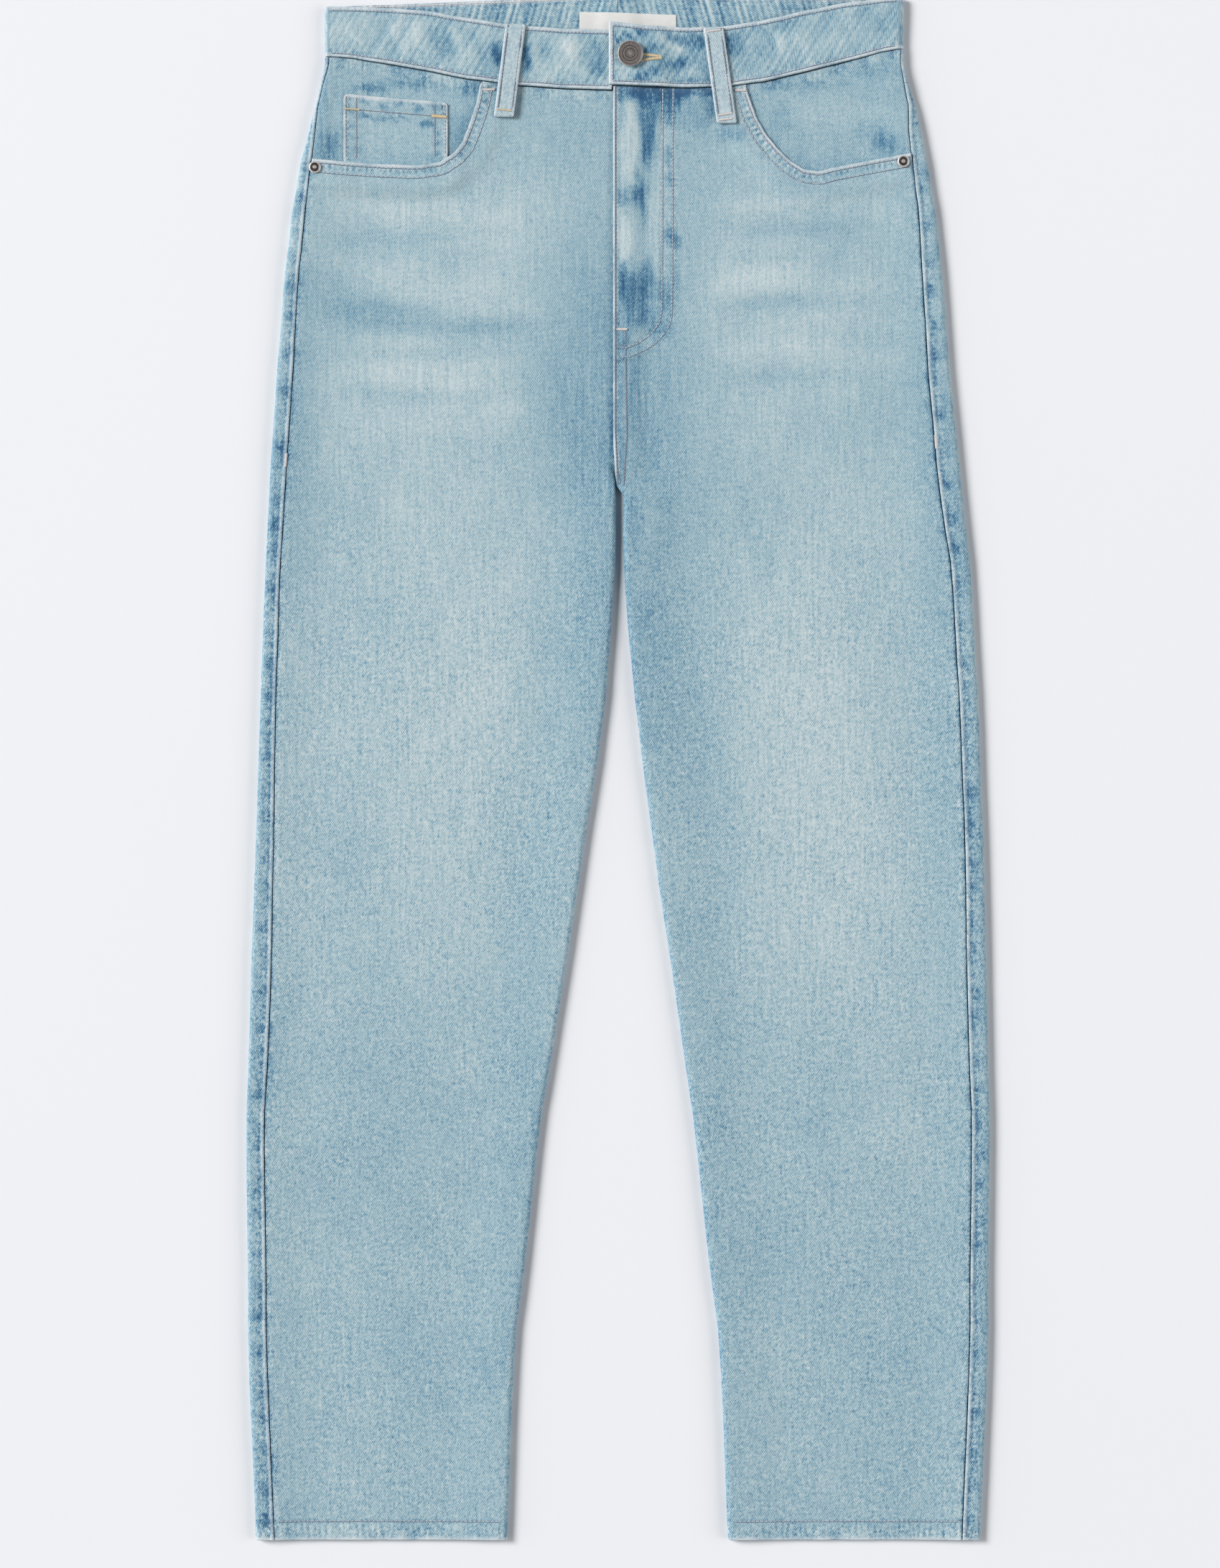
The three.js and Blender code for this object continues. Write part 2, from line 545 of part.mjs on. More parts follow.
function facing(side) {
  const innermost = side.scoopEnd - FACING_LAP + 3;
  const fixed = span(COIN.outerOut + 3, innermost, 11);
  const lower = (out) => side.scoop(Math.min(out + FACING_LAP - 2, side.scoopSide)) + FACING_LAP;
  const top = (out, down) => restingTop(side, out, down);
  const rim = (share) => ({
    upper: side.seamAtFold + WAIST_GAP,
    lower: side.scoop(side.scoopSide) + FACING_LAP,
    point: (down, depth) => {
      const seam = seamAlong(side, down) + SIDE_GAP;
      const inward = alongOfOut(side, down, fixed[0], FOLD_RADIUS);
      return sectionPoint(side, down, mix(seam, inward, share), depth, FOLD_RADIUS, top);
    },
  });
  const columns = [
    ...[0, 0.25, 0.5, 0.75].map(rim),
    ...fixed.map((out) => ({
      upper: side.waistSeam(out) + WAIST_GAP,
      lower: Math.max(lower(out), side.waistSeam(out) + FACING_LAP),
      point: (down, depth) => at(side, out, down, top(out, down) - depth),
    })),
  ];
  const rowsOf = (depth) =>
    FACING_ROWS.map((t) => columns.map((c) => c.point(mix(c.upper, c.lower, t), depth)));
  return wall("pocket_facing_" + side.name, rowsOf(0), rowsOf(THIN_CLOTH), denim);
}

// Coin pocket: lies on the right facing, and its lower end runs under the front panel.
function coinPocket() {
  const rise = CLEAR + THIN_CLOTH;
  const columns = span(0, 1, 9).map((t) => {
    const out = mix(COIN.outerOut, COIN.innerOut, t);
    const upper = mix(COIN.outerTop, COIN.innerTop, t);
    return { out, upper, lower: RIGHT.scoop(out) + FACING_LAP - 2 };
  });
  const rowsOf = (depth) =>
    span(0, 1, 6).map((t) =>
      columns.map((c) => {
        const down = mix(c.upper, c.lower, t);
        return at(RIGHT, c.out, down, restingTop(RIGHT, c.out, down) + rise - depth);
      }));
  return wall("coin_pocket", rowsOf(0), rowsOf(THIN_CLOTH), denim);
}

// Front belt loops: from the band's top edge, down over its seam and onto the front panel.
function frontLoop({ name, x0, down0, x1, down1 }) {
  const side = x0 < 0 ? RIGHT : LEFT;
  const seam = side.waistSeam(Math.abs(x0 + x1) / 2);
  const heightAt = (x, down) => {
    const out = Math.abs(x);
    if (down < seam + LOOP_STEP.to - SEAM_GAP) return bandTopZ(side, out) + CLEAR;
    const spots = [-LOOP_WIDTH / 2, 0, LOOP_WIDTH / 2].map((w) => frontTop(side, out + w, down));
    return Math.max(...spots) + CLEAR;
  };
  const shareOf = (down) => (down - down0) / (down1 - down0);
  const shares = [0, 0.3, shareOf(seam + LOOP_STEP.from), shareOf(seam + LOOP_STEP.to), 0.8, 0.9, 1];
  const rowsOf = (rise) =>
    shares.map((t) => {
      const x = mix(x0, x1, t);
      const down = mix(down0, down1, t);
      const z = heightAt(x, down) + rise;
      return [-1, 1].map((w) => new THREE.Vector3(x + (w * LOOP_WIDTH) / 2, LENGTH / 2 - down, z));
    });
  return wall(name, rowsOf(LOOP_CLOTH), rowsOf(0), denim);
}

// Flat pieces under the back

function flatPatch(name, outline) {
  const shape = new THREE.Shape(outline.map(([x, down]) => new THREE.Vector2(x, LENGTH / 2 - down)));
  return named(name, new THREE.ExtrudeGeometry(shape, { depth: PATCH_THICK, bevelEnabled: false }), denim);
}

function backPocket(side) {
  const { out, down, width, length, point } = BACK_POCKET;
  const near = out - width / 2;
  const far = out + width / 2;
  const narrow = 7; // each side, at the foot
  const outline = [
    [near, down], [far, down], [far - narrow, down + length - point],
    [out, down + length], [near + narrow, down + length - point],
  ].map(([o, d]) => [side.sign * o, d]);
  return flatPatch("back_pocket_" + side.name, outline);
}

function backLoop(name, x) {
  const half = BACK_LOOP.width / 2;
  const top = backBandTop(x < 0 ? RIGHT : LEFT, Math.abs(x) - half) + 1;
  const { bottom } = BACK_LOOP;
  return flatPatch(name, [[x - half, top], [x + half, top], [x + half, bottom], [x - half, bottom]]);
}

// Blank label inside the back of the waistband
function label() {
  const xs = [LABEL.x0, -2 * LOOP_SHOULDER, -LOOP_SHOULDER, LOOP_SHOULDER, 2 * LOOP_SHOULDER, LABEL.x1];
  const rowsOf = (rise) =>
    [0, 1].map((t) =>
      xs.map((x) => {
        const slant = (LABEL.slope * (x - LABEL.x0)) / (LABEL.x1 - LABEL.x0);
        const down = LABEL.down + slant + t * LABEL.height;
        const z = backLift(Math.abs(x), down) + BAND_CLOTH + SEAM_GAP + rise;
        return new THREE.Vector3(x, LENGTH / 2 - down, z);
      }));
  return wall("label", rowsOf(LABEL.thick), rowsOf(0), labelCloth);
}

// Metal pieces, turned about their own axis and set on the cloth

function turned(name, profile, segments, x, down, z) {
  const points = profile.map(([r, h]) => new THREE.Vector2(r, h));
  const mesh = named(name, new THREE.LatheGeometry(points, segments), metal);
  mesh.rotation.x = HALF_TURN / 2;
  mesh.position.set(x, LENGTH / 2 - down, z);
  return mesh;
}

function button() {
  const { x, down, radius, height } = BUTTON;
  const neck = radius * 0.5;
  const profile = [
    [0, 0], [neck, 0], [neck, height * 0.3], [radius * 0.96, height * 0.5], [radius, height * 0.75],
    [radius * 0.9, height], [radius * 0.74, height], [radius * 0.68, height * 0.86], [0, height * 0.9],
  ];
  return turned("button", profile, 40, x, down, bandTopZ(LEFT, x) + CLEAR);
}

function rivet({ name, x, down }) {
  const side = x < 0 ? RIGHT : LEFT;
  const { radius, height } = RIVET;
  const spots = [-1, 0, 1].flatMap((a) =>
    [-1, 0, 1].map((b) => frontTop(side, Math.abs(x) + a * radius, down + b * radius)));
  const profile = [
    [0, 0], [radius, 0], [radius, height * 0.35], [radius * 0.8, height * 0.8], [radius * 0.5, height * 0.6],
    [radius * 0.34, height], [0, height],
  ];
  return turned(name, profile, 24, x, down, Math.max(...spots) + SEAM_GAP);
}

// The garment
const jeans = new THREE.Group();
for (const side of [RIGHT, LEFT]) {
  jeans.add(frontPanel(side), backPanel(side), yoke(side), waistband(side), facing(side), backPocket(side));
}
jeans.add(coinPocket(), ...FRONT_LOOPS.map(frontLoop));
jeans.add(
  backLoop("belt_loop_back_right", -BACK_LOOP.out),
  backLoop("belt_loop_back_centre", 0),
  backLoop("belt_loop_back_left", BACK_LOOP.out),
);
jeans.add(label(), button(), ...RIVETS.map(rivet));

export default jeans;
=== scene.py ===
import functools
import math

import bpy
import numpy as np
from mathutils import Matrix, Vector


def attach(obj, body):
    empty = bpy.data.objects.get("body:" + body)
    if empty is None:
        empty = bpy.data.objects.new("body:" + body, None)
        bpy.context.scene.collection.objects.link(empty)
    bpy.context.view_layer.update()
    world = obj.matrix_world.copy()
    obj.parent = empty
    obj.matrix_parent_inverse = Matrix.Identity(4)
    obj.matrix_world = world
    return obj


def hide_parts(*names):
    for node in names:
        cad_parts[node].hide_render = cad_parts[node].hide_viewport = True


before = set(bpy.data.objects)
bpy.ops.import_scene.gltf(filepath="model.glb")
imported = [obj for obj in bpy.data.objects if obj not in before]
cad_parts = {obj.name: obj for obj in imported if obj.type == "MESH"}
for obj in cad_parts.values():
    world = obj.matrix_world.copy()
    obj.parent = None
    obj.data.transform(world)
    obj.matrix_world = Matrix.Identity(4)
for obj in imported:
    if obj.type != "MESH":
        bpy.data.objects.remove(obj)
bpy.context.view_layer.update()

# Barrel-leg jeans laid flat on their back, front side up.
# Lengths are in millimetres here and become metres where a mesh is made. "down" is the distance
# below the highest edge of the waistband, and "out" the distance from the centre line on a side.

MM = 0.001

# Sizes that the solid model has too
LENGTH = 1023.0
CLOTH = 1.2
BAND_CLOTH = 2.0
THIN_CLOTH = 0.8
HEM_CLOTH = 2.0
HEM_DEPTH = 15.0
HEM_TOP = LENGTH - HEM_DEPTH
SEAM_GAP = 0.3
SIDE_GAP = 0.5
WAIST_GAP = 0.6
FOLD_RADIUS = 3.1
BAND_FOLD_RADIUS = 3.25
FRONT_LEVEL = 3.1
FOLD_REACH = 42.0
CROTCH = 329.0
ROLL_FULL = 338.0
FACING_LAP = 9.0
LIFT_FULL = FACING_LAP + 5.0
LIFT_REACH = 12.0
CLEAR = 0.4
QUARTER = FOLD_RADIUS * math.pi / 2
STRIP = FOLD_RADIUS * math.pi
BACK_BAND_HEIGHT = 40.0
YOKE_AT_SIDE = 58.0
YOKE_AT_CENTRE = 112.0
YOKE_REACH = 194.0
COIN = dict(outer_out=181.5, inner_out=112.5, outer_top=65.8, inner_top=71.4, margin=5.0)
FLY_LAP = dict(full=8.0, end=19.0, level=314.0, low=327.0)
BAND_LAP = dict(full=26.0, end=37.0, start=-6.0, under=-22.0, under_from=3.6, under_seam=59.4)
BAND_LAP_HEIGHT = BAND_CLOTH + CLEAR
BACK_POCKET = dict(out=104.0, down=128.0, width=144.0, length=148.0, point=16.0, narrow=7.0)
BACK_LOOP = dict(out=168.0, width=13.0, bottom=60.0)
PATCH_THICK = 1.2
PATCH_BOTTOM = 0.05
PATCH_MARGIN = 12.0
LOOP_SHOULDER = 8.0
LOOP_WIDTH = 13.3
LOOP_CLOTH = 1.8
LOOP_CORNER = 1.6
LOOP_STEP = dict(start=1.5, end=5.0)
BUTTON = dict(x=8.2, down=39.9, radius=8.5, height=3.4)
RIVET = dict(radius=4.0, height=1.5)
LABEL = dict(x0=-25.4, x1=38.7, down=11.0, slope=2.0, height=23.0, thick=0.4)


def table(text):
    """Rows of named columns, read from lines of words; the first line has the names."""
    lines = [line.split() for line in text.strip().splitlines()]

    def value(word):
        return float(word) if word.lstrip("-")[0].isdigit() else word

    return [dict(zip(lines[0], map(value, line))) for line in lines[1:]]


OUTLINE = table("""
    down  right_outer  left_outer  right_inset  left_inset
    0     193.5        188.0       3.0          1.5
    44    193.8        188.8       2.5          1.5
    60    196.8        192.6       1.2          2.8
    72    199.7        196.6       1.2          4.4
    89    204.0        200.6       3.6          8.0
    106   208.8        204.0       6.4          9.6
    139   214.9        209.7       8.2          10.9
    182   220.2        214.5       9.0          13.0
    246   225.4        219.7       10.4         14.4
    310   229.8        226.0       10.5         15.0
    374   233.0        233.0       9.6          12.8
    460   236.3        238.2       9.9          12.3
    545   239.2        241.5       11.5         12.0
    631   242.5        243.9       13.3         13.0
    738   246.0        246.2       12.0         12.0
    880   245.0        245.4       12.0         12.0
    1023  239.5        240.0       12.0         12.0
""")
INNER_EDGE = table("""
    down  right_inner  left_inner
    40    -5.0         -3.1
    286   -5.0         -3.1
    298   -2.0         -3.0
    307   1.2          -2.4
    317   1.7          -2.0
    325   1.7          -1.2
    329   1.7          2.6
    334   1.6          3.8
    353   1.4          3.3
    374   1.8          3.8
    396   3.1          5.0
    417   4.4          6.6
    460   7.6          10.7
    503   12.8         15.7
    545   19.6         21.3
    588   26.0         27.0
    631   32.4         33.6
    674   39.4         39.9
    738   50.2         49.2
    880   67.0         66.0
    1023  73.5         73.0
""")
RIGHT_WAIST = table("""
    out   top   seam
    6     23.5  63.0
    34    22.8  62.2
    64    20.9  60.2
    98    15.9  56.0
    123   11.4  51.0
    149   9.3   46.4
    174   8.4   42.4
    195   8.0   41.0
""")
LEFT_WAIST = table("""
    out   top   seam
    -6    18.1  59.9
    16    20.8  60.6
    43    22.0  61.5
    68    21.4  61.3
    94    17.6  57.9
    120   11.6  52.0
    146   6.4   45.5
    173   2.8   38.4
    190   1.9   35.4
""")
RIGHT_SCOOP = table("""
    out    down
    91.2   59.5
    93.0   69.2
    95.6   78.0
    99.2   88.5
    102.6  97.3
    107.9  104.4
    116.6  110.5
    130.0  113.0
    153.0  112.6
    178.0  111.1
    204.0  108.6
""")
LEFT_SCOOP = table("""
    out    down
    84.7   61.3
    87.3   69.3
    91.2   80.3
    97.2   91.3
    105.2  101.3
    113.2  109.3
    122.2  115.3
    131.2  117.1
    141.2  114.8
    167.2  109.8
    196.0  104.8
""")
FRONT_LOOPS = table("""
    name                   x0     down0  x1     down1
    belt_loop_front_right  -67.7  20.0   -75.3  81.4
    belt_loop_front_left   63.2   22.0   71.8   85.6
""")
RIVETS = table("""
    name         x       down
    rivet_right  -200.3  114.7
    rivet_left   188.8   110.8
""")


# Curves and slopes

def column(rows, name):
    return np.array([row[name] for row in rows])


def smooth(rows, at, value):
    """A smooth function of rows[at] through rows[value], with the slopes of a Catmull-Rom curve."""
    x, y = column(rows, at), column(rows, value)
    last = len(x) - 1
    before = np.maximum(np.arange(last + 1) - 1, 0)
    after = np.minimum(np.arange(last + 1) + 1, last)
    slope = (y[after] - y[before]) / (x[after] - x[before])

    def curve(q):
        p = np.clip(q, x[0], x[-1])
        i = np.clip(np.searchsorted(x, p, side="right") - 1, 0, last - 1)
        step = x[i + 1] - x[i]
        t = (p - x[i]) / step
        bend = (y[i + 1] - y[i]) / step
        a = slope[i] - bend
        b = bend - slope[i + 1]
        return y[i] + step * t * (bend + (1 - t) * (a * (1 - t) - b * t))

    return curve


def mix(a, b, t):
    return a + (b - a) * t


def ramp(q, full, end):
    """1 up to full, 0 from end on, and an even slope between."""
    return np.clip((end - q) / (end - full), 0, 1)


def soft_ramp(q, full, end):
    t = ramp(q, full, end)
    return t * t * (3 - 2 * t)


def bell(q, middle, width):
    """1 at the middle, about 0.6 one width from it, and 0 far away."""
    return np.exp(-0.5 * ((q - middle) / width) ** 2)


# Places along a row, close together near an edge that is finished there
EDGE_PLACES = np.array([0, 0.25, 0.6, 1.1, 1.7, 2.4, 3.3, 4.5, 6.0, 8.0, 10.2])


def graded(length, coarse, start=True, end=True):
    close = EDGE_PLACES[EDGE_PLACES < 0.42 * length]
    head = close if start else close[:1]
    tail = length - (close[::-1] if end else close[:1])
    count = max(int(math.ceil((tail[0] - head[-1]) / coarse)), 1)
    return np.concatenate([head, np.linspace(head[-1], tail[0], count + 1)[1:-1], tail])


class Noise:
    """Smooth repeatable noise from about -1 to 1, one bump per unit."""

    def __init__(self, seed):
        self.lattice = np.random.default_rng(seed).uniform(-1, 1, (256, 256))

    def __call__(self, u, v):
        u, v = np.broadcast_arrays(np.asarray(u, float), np.asarray(v, float))
        i, j = np.floor(u).astype(int), np.floor(v).astype(int)
        fu, fv = u - i, v - j
        fu, fv = fu * fu * (3 - 2 * fu), fv * fv * (3 - 2 * fv)

        def at(a, b):
            return self.lattice[(i + a) & 255, (j + b) & 255]

        return mix(mix(at(0, 0), at(1, 0), fu), mix(at(0, 1), at(1, 1), fu), fv)

    def rough(self, u, v):
        return (self(u, v) + 0.5 * self(2.1 * u + 17.3, 2.1 * v + 5.7)
                + 0.25 * self(4.3 * u + 3.1, 4.3 * v + 41.9)) / 1.4


FAR = 1000.0
POINTS_AT_ONCE = 4000
WAY_REACH = 0.8


class Line:
    """A line on the garment, as points (x, down)."""

    def __init__(self, points, step=1.0):
        points = np.asarray(points, float)
        lengths = np.concatenate([[0], np.cumsum(np.hypot(*np.diff(points, axis=0).T))])
        count = max(int(lengths[-1] / step), 1) + 1
        self.along = np.linspace(0, lengths[-1], count)
        self.points = np.stack([np.interp(self.along, lengths, points[:, k]) for k in (0, 1)], axis=1)
        self.length = lengths[-1]

    def spot(self, along):
        along = np.clip(along, 0, self.length)
        return np.stack([np.interp(along, self.along, self.points[:, k]) for k in (0, 1)], axis=-1)

    def at(self, along, aside=0.0):
        """Points on the line, or aside of it: positive to the right of its way with down as up."""
        step = self.spot(along + WAY_REACH) - self.spot(along - WAY_REACH)
        way = step / np.linalg.norm(step, axis=-1, keepdims=True)
        across = np.stack([way[..., 1], -way[..., 0]], axis=-1)
        return self.spot(along) + np.asarray(aside)[..., None] * across

    def near(self, x, down, reach):
        """Each point's distance from the line, and its place along it."""
        x, down = np.broadcast_arrays(x, down)
        shape = x.shape
        x, down = x.ravel(), down.ravel()
        distance, along = np.full(x.size, FAR), np.zeros(x.size)
        low, high = self.points.min(axis=0) - reach, self.points.max(axis=0) + reach
        inside = np.flatnonzero((x > low[0]) & (x < high[0]) & (down > low[1]) & (down < high[1]))
        start, step = self.points[:-1], np.diff(self.points, axis=0)
        square = np.maximum((step ** 2).sum(axis=1), 1e-9)
        for part in np.array_split(inside, max(inside.size // POINTS_AT_ONCE, 1)):
            dx, dd = x[part, None] - start[:, 0], down[part, None] - start[:, 1]
            t = np.clip((dx * step[:, 0] + dd * step[:, 1]) / square, 0, 1)
            away = np.hypot(dx - t * step[:, 0], dd - t * step[:, 1])
            best = away.argmin(axis=1)
            row = np.arange(part.size)
            distance[part] = away[row, best]
            along[part] = self.along[best] + t[row, best] * np.sqrt(square[best])
        return distance.reshape(shape), along.reshape(shape)


# The two sides of the garment

class Side:
    def __init__(self, name, sign, waist, scoop, roll_from):
        self.name = name
        self.sign = sign
        self.roll_from = roll_from
        self.outer = smooth(OUTLINE, "down", name + "_outer")
        self.inset = smooth(OUTLINE, "down", name + "_inset")
        self.inner = smooth(INNER_EDGE, "down", name + "_inner")
        self.band_top = smooth(waist, "out", "top")
        self.waist_seam = smooth(waist, "out", "seam")
        self.scoop = smooth(scoop, "out", "down")
        self.scoop_end = scoop[0]["out"]
        self.scoop_side = scoop[-1]["out"]
        self.band_outer = float(self.outer(30))
        self.band_fold = self.band_outer - BAND_FOLD_RADIUS
        self.seam_at_fold = float(self.waist_seam(self.band_fold))
        outs = np.linspace(self.scoop_side, self.scoop_end, 300)
        self.scoop_line = Line(np.stack([sign * outs, self.scoop(outs)], axis=1))

    def out_edge(self, down):
        """Where the front panel ends at the outseam."""
        return self.outer(down) - self.inset(down) - SIDE_GAP

    def seam_along(self, down):
        """How far round the side fold the outseam lies."""
        inset = self.inset(down)
        flat = QUARTER + inset - FOLD_RADIUS
        bent = FOLD_RADIUS * np.arccos(np.clip(1 - inset / FOLD_RADIUS, -1, 1))
        return np.where(inset >= FOLD_RADIUS, flat, bent)

    def along_of(self, down, out):
        return QUARTER + self.outer(down) - FOLD_RADIUS - out


RIGHT = Side("right", -1, RIGHT_WAIST, RIGHT_SCOOP, 306)
LEFT = Side("left", 1, LEFT_WAIST, LEFT_SCOOP, 315)
SIDES = (RIGHT, LEFT)


def spots(x, down, z):
    """Points in space, from their places on the garment and their heights."""
    x, down, z = np.broadcast_arrays(x, down, z)
    return np.stack([x, LENGTH / 2 - down, z], axis=-1)


def place(side, out, down, z):
    return spots(side.sign * out, down, z)


def nearest(*distances):
    return functools.reduce(np.minimum, distances)


# Heights, as the solids have them

FLAT = 1e-6


def roll(side, down):
    """How far the front panel's inner strip is folded: 0 lies flat, 1 is folded right under."""
    return 1 - soft_ramp(down, side.roll_from, ROLL_FULL)


def front_lift(side, out, down):
    """What the front panel rises over: the fly's under edge, the facing and the coin pocket."""
    lift = 0 * (out + down)
    if side is LEFT:
        lift = lift + (CLOTH + CLEAR) * (ramp(out, FLY_LAP["full"], FLY_LAP["end"])
                                         * ramp(down, FLY_LAP["level"], FLY_LAP["low"]))
    distance = side.scoop_line.near(side.sign * out, down, 3 * LIFT_REACH)[0]
    near = soft_ramp(distance, LIFT_FULL, LIFT_FULL + LIFT_REACH)
    lift = lift + (CLOTH + CLEAR) * near
    if side is RIGHT:
        middle = (COIN["outer_out"] + COIN["inner_out"]) / 2
        half = (COIN["outer_out"] - COIN["inner_out"]) / 2
        over = soft_ramp(np.abs(out - middle), half + COIN["margin"], half + COIN["margin"] + LIFT_REACH)
        lift = lift + (THIN_CLOTH + CLEAR) * near * over
    return lift


def resting_top(side, out, down):
    """The front layer's outer face without what lies under it."""
    from_outer = side.outer(down) - FOLD_RADIUS - out
    from_inner = out - side.inner(down) - FOLD_RADIUS
    outer_rise = soft_ramp(from_outer, 0, FOLD_REACH)
    inner_rise = roll(side, down) * soft_ramp(from_inner, 0, FOLD_REACH)
    return mix(FRONT_LEVEL + CLOTH, 2 * FOLD_RADIUS, np.maximum(outer_rise, inner_rise))


def front_top(side, out, down):
    return resting_top(side, out, down) + front_lift(side, out, down)


def back_lift(out, down):
    """How far the back is lifted by the back pocket and the belt loops under it."""
    half = BACK_POCKET["width"] / 2
    across = ramp(np.abs(out - BACK_POCKET["out"]), half + PATCH_MARGIN, half + 2 * PATCH_MARGIN)
    half = BACK_POCKET["length"] / 2
    middle = BACK_POCKET["down"] + half
    along = ramp(np.abs(down - middle), half + PATCH_MARGIN, half + 2 * PATCH_MARGIN)
    loops = [ramp(np.abs(out - spot), LOOP_SHOULDER, 2 * LOOP_SHOULDER) for spot in (0, BACK_LOOP["out"])]
    loop = np.maximum(*loops) * ramp(down, BACK_LOOP["bottom"] + 16, BACK_LOOP["bottom"] + 30)
    return (PATCH_THICK + SEAM_GAP) * np.maximum(across * along, loop)


def section_point(side, down, along, depth, radius=FOLD_RADIUS, outer=None, top=None):
    """The point this far along the section, from the side fold's outermost point: positive over
    the top towards the centre, negative round underneath. Depth is measured into the wall."""
    quarter = radius * math.pi / 2
    middle = (side.outer(down) if outer is None else outer) - radius
    over, under = along - quarter, -along - quarter
    turn = along / radius
    bent_out = middle + (radius - depth) * np.cos(turn)
    bent_z = radius + (radius - depth) * np.sin(turn)
    top_out, back_out = middle - over, middle - under
    top_z = (2 * radius if top is None else top(side, top_out, down)) - depth
    back_z = back_lift(back_out, down) + depth
    out = np.where(over > 0, top_out, np.where(under > 0, back_out, bent_out))
    z = np.where(over > 0, top_z, np.where(under > 0, back_z, bent_z))
    return place(side, out, down, z)


def strip_start(side, down):
    """Where the front panel's inner strip begins, which folds under along the leg."""
    turn = roll(side, down) * math.pi
    radius = strip_radius(side, down)
    bent = radius * np.where(turn > math.pi / 2, 1, np.sin(turn))
    return side.inner(down) + np.where(turn < FLAT, STRIP, bent)


def strip_radius(side, down):
    turn = np.maximum(roll(side, down) * math.pi, FLAT)
    top = front_top(side, side.inner(down) + FOLD_RADIUS, down)
    lowest = ((CLOTH + CLEAR) * ramp(down, CROTCH - 1, CROTCH + 7)
              + CLOTH * np.maximum(0, np.cos(turn)))
    return np.minimum(STRIP / turn, (top - lowest) / np.maximum(1 - np.cos(turn), 1e-9))


def strip_point(side, down, share, depth):
    start = strip_start(side, down)
    turn = roll(side, down) * math.pi
    radius = strip_radius(side, down)
    angle = share * turn
    flat_out = start - share * STRIP
    bent_out = start - (radius - depth) * np.sin(angle)
    bent_z = front_top(side, start, down) - radius + (radius - depth) * np.cos(angle)
    flat = turn < FLAT
    out = np.where(flat, flat_out, bent_out)
    z = np.where(flat, front_top(side, flat_out, down) - depth, bent_z)
    return place(side, out, down, z)


def back_inner(side, down):
    clear = side.inner(down) + FOLD_RADIUS + SEAM_GAP
    joined = mix(clear, SEAM_GAP / 2, ramp(down, CROTCH - 8, CROTCH - 2))
    return np.where(down < CROTCH - 8, SEAM_GAP / 2, joined)


def towards_fold(side, out, at_centre, at_fold):
    return mix(at_centre, at_fold, np.clip(out / side.band_fold, 0, 1))


def back_band_top(side, out):
    return towards_fold(side, out, 0, side.band_top(side.band_fold))


def back_seam(side, out):
    return towards_fold(side, out, BACK_BAND_HEIGHT, side.seam_at_fold)


def yoke_seam(out):
    return mix(YOKE_AT_CENTRE, YOKE_AT_SIDE, np.clip(out / YOKE_REACH, 0, 1))


def band_top_z(side, out):
    lap = BAND_LAP_HEIGHT * ramp(out, BAND_LAP["full"], BAND_LAP["end"]) if side is LEFT else 0 * out
    return 2 * BAND_FOLD_RADIUS + lap


NO_EDGE = 9.0
FACING_EDGE = 0.4
THICK_EDGE = 0.9
THIN_EDGE = 0.5


def edge_drop(distance, radius=0.6):
    """How far a rounded edge lies below the face, this far from the edge."""
    rest = radius - np.clip(distance, 0, radius)
    return radius - np.sqrt(radius ** 2 - rest ** 2)


# Meshes

ENDING = "_visual"


def mesh_object(name, points, faces, material, values=None, smooth_angle=50):
    name += ENDING
    mesh = bpy.data.meshes.new(name)
    mesh.from_pydata((np.asarray(points) * MM).tolist(), [], faces)
    for key, data in (values or {}).items():
        data = np.asarray(data, float)
        kind, field = ("FLOAT", "value") if data.ndim == 1 else ("FLOAT_VECTOR", "vector")
        mesh.attributes.new(key, kind, "POINT").data.foreach_set(field, data.ravel())
    mesh.polygons.foreach_set("use_smooth", [True] * len(mesh.polygons))
    mesh.set_sharp_from_angle(angle=math.radians(smooth_angle))
    mesh.materials.append(material)
    piece = bpy.data.objects.new(name, mesh)
    bpy.context.scene.collection.objects.link(piece)
    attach(piece, "root")
    return piece


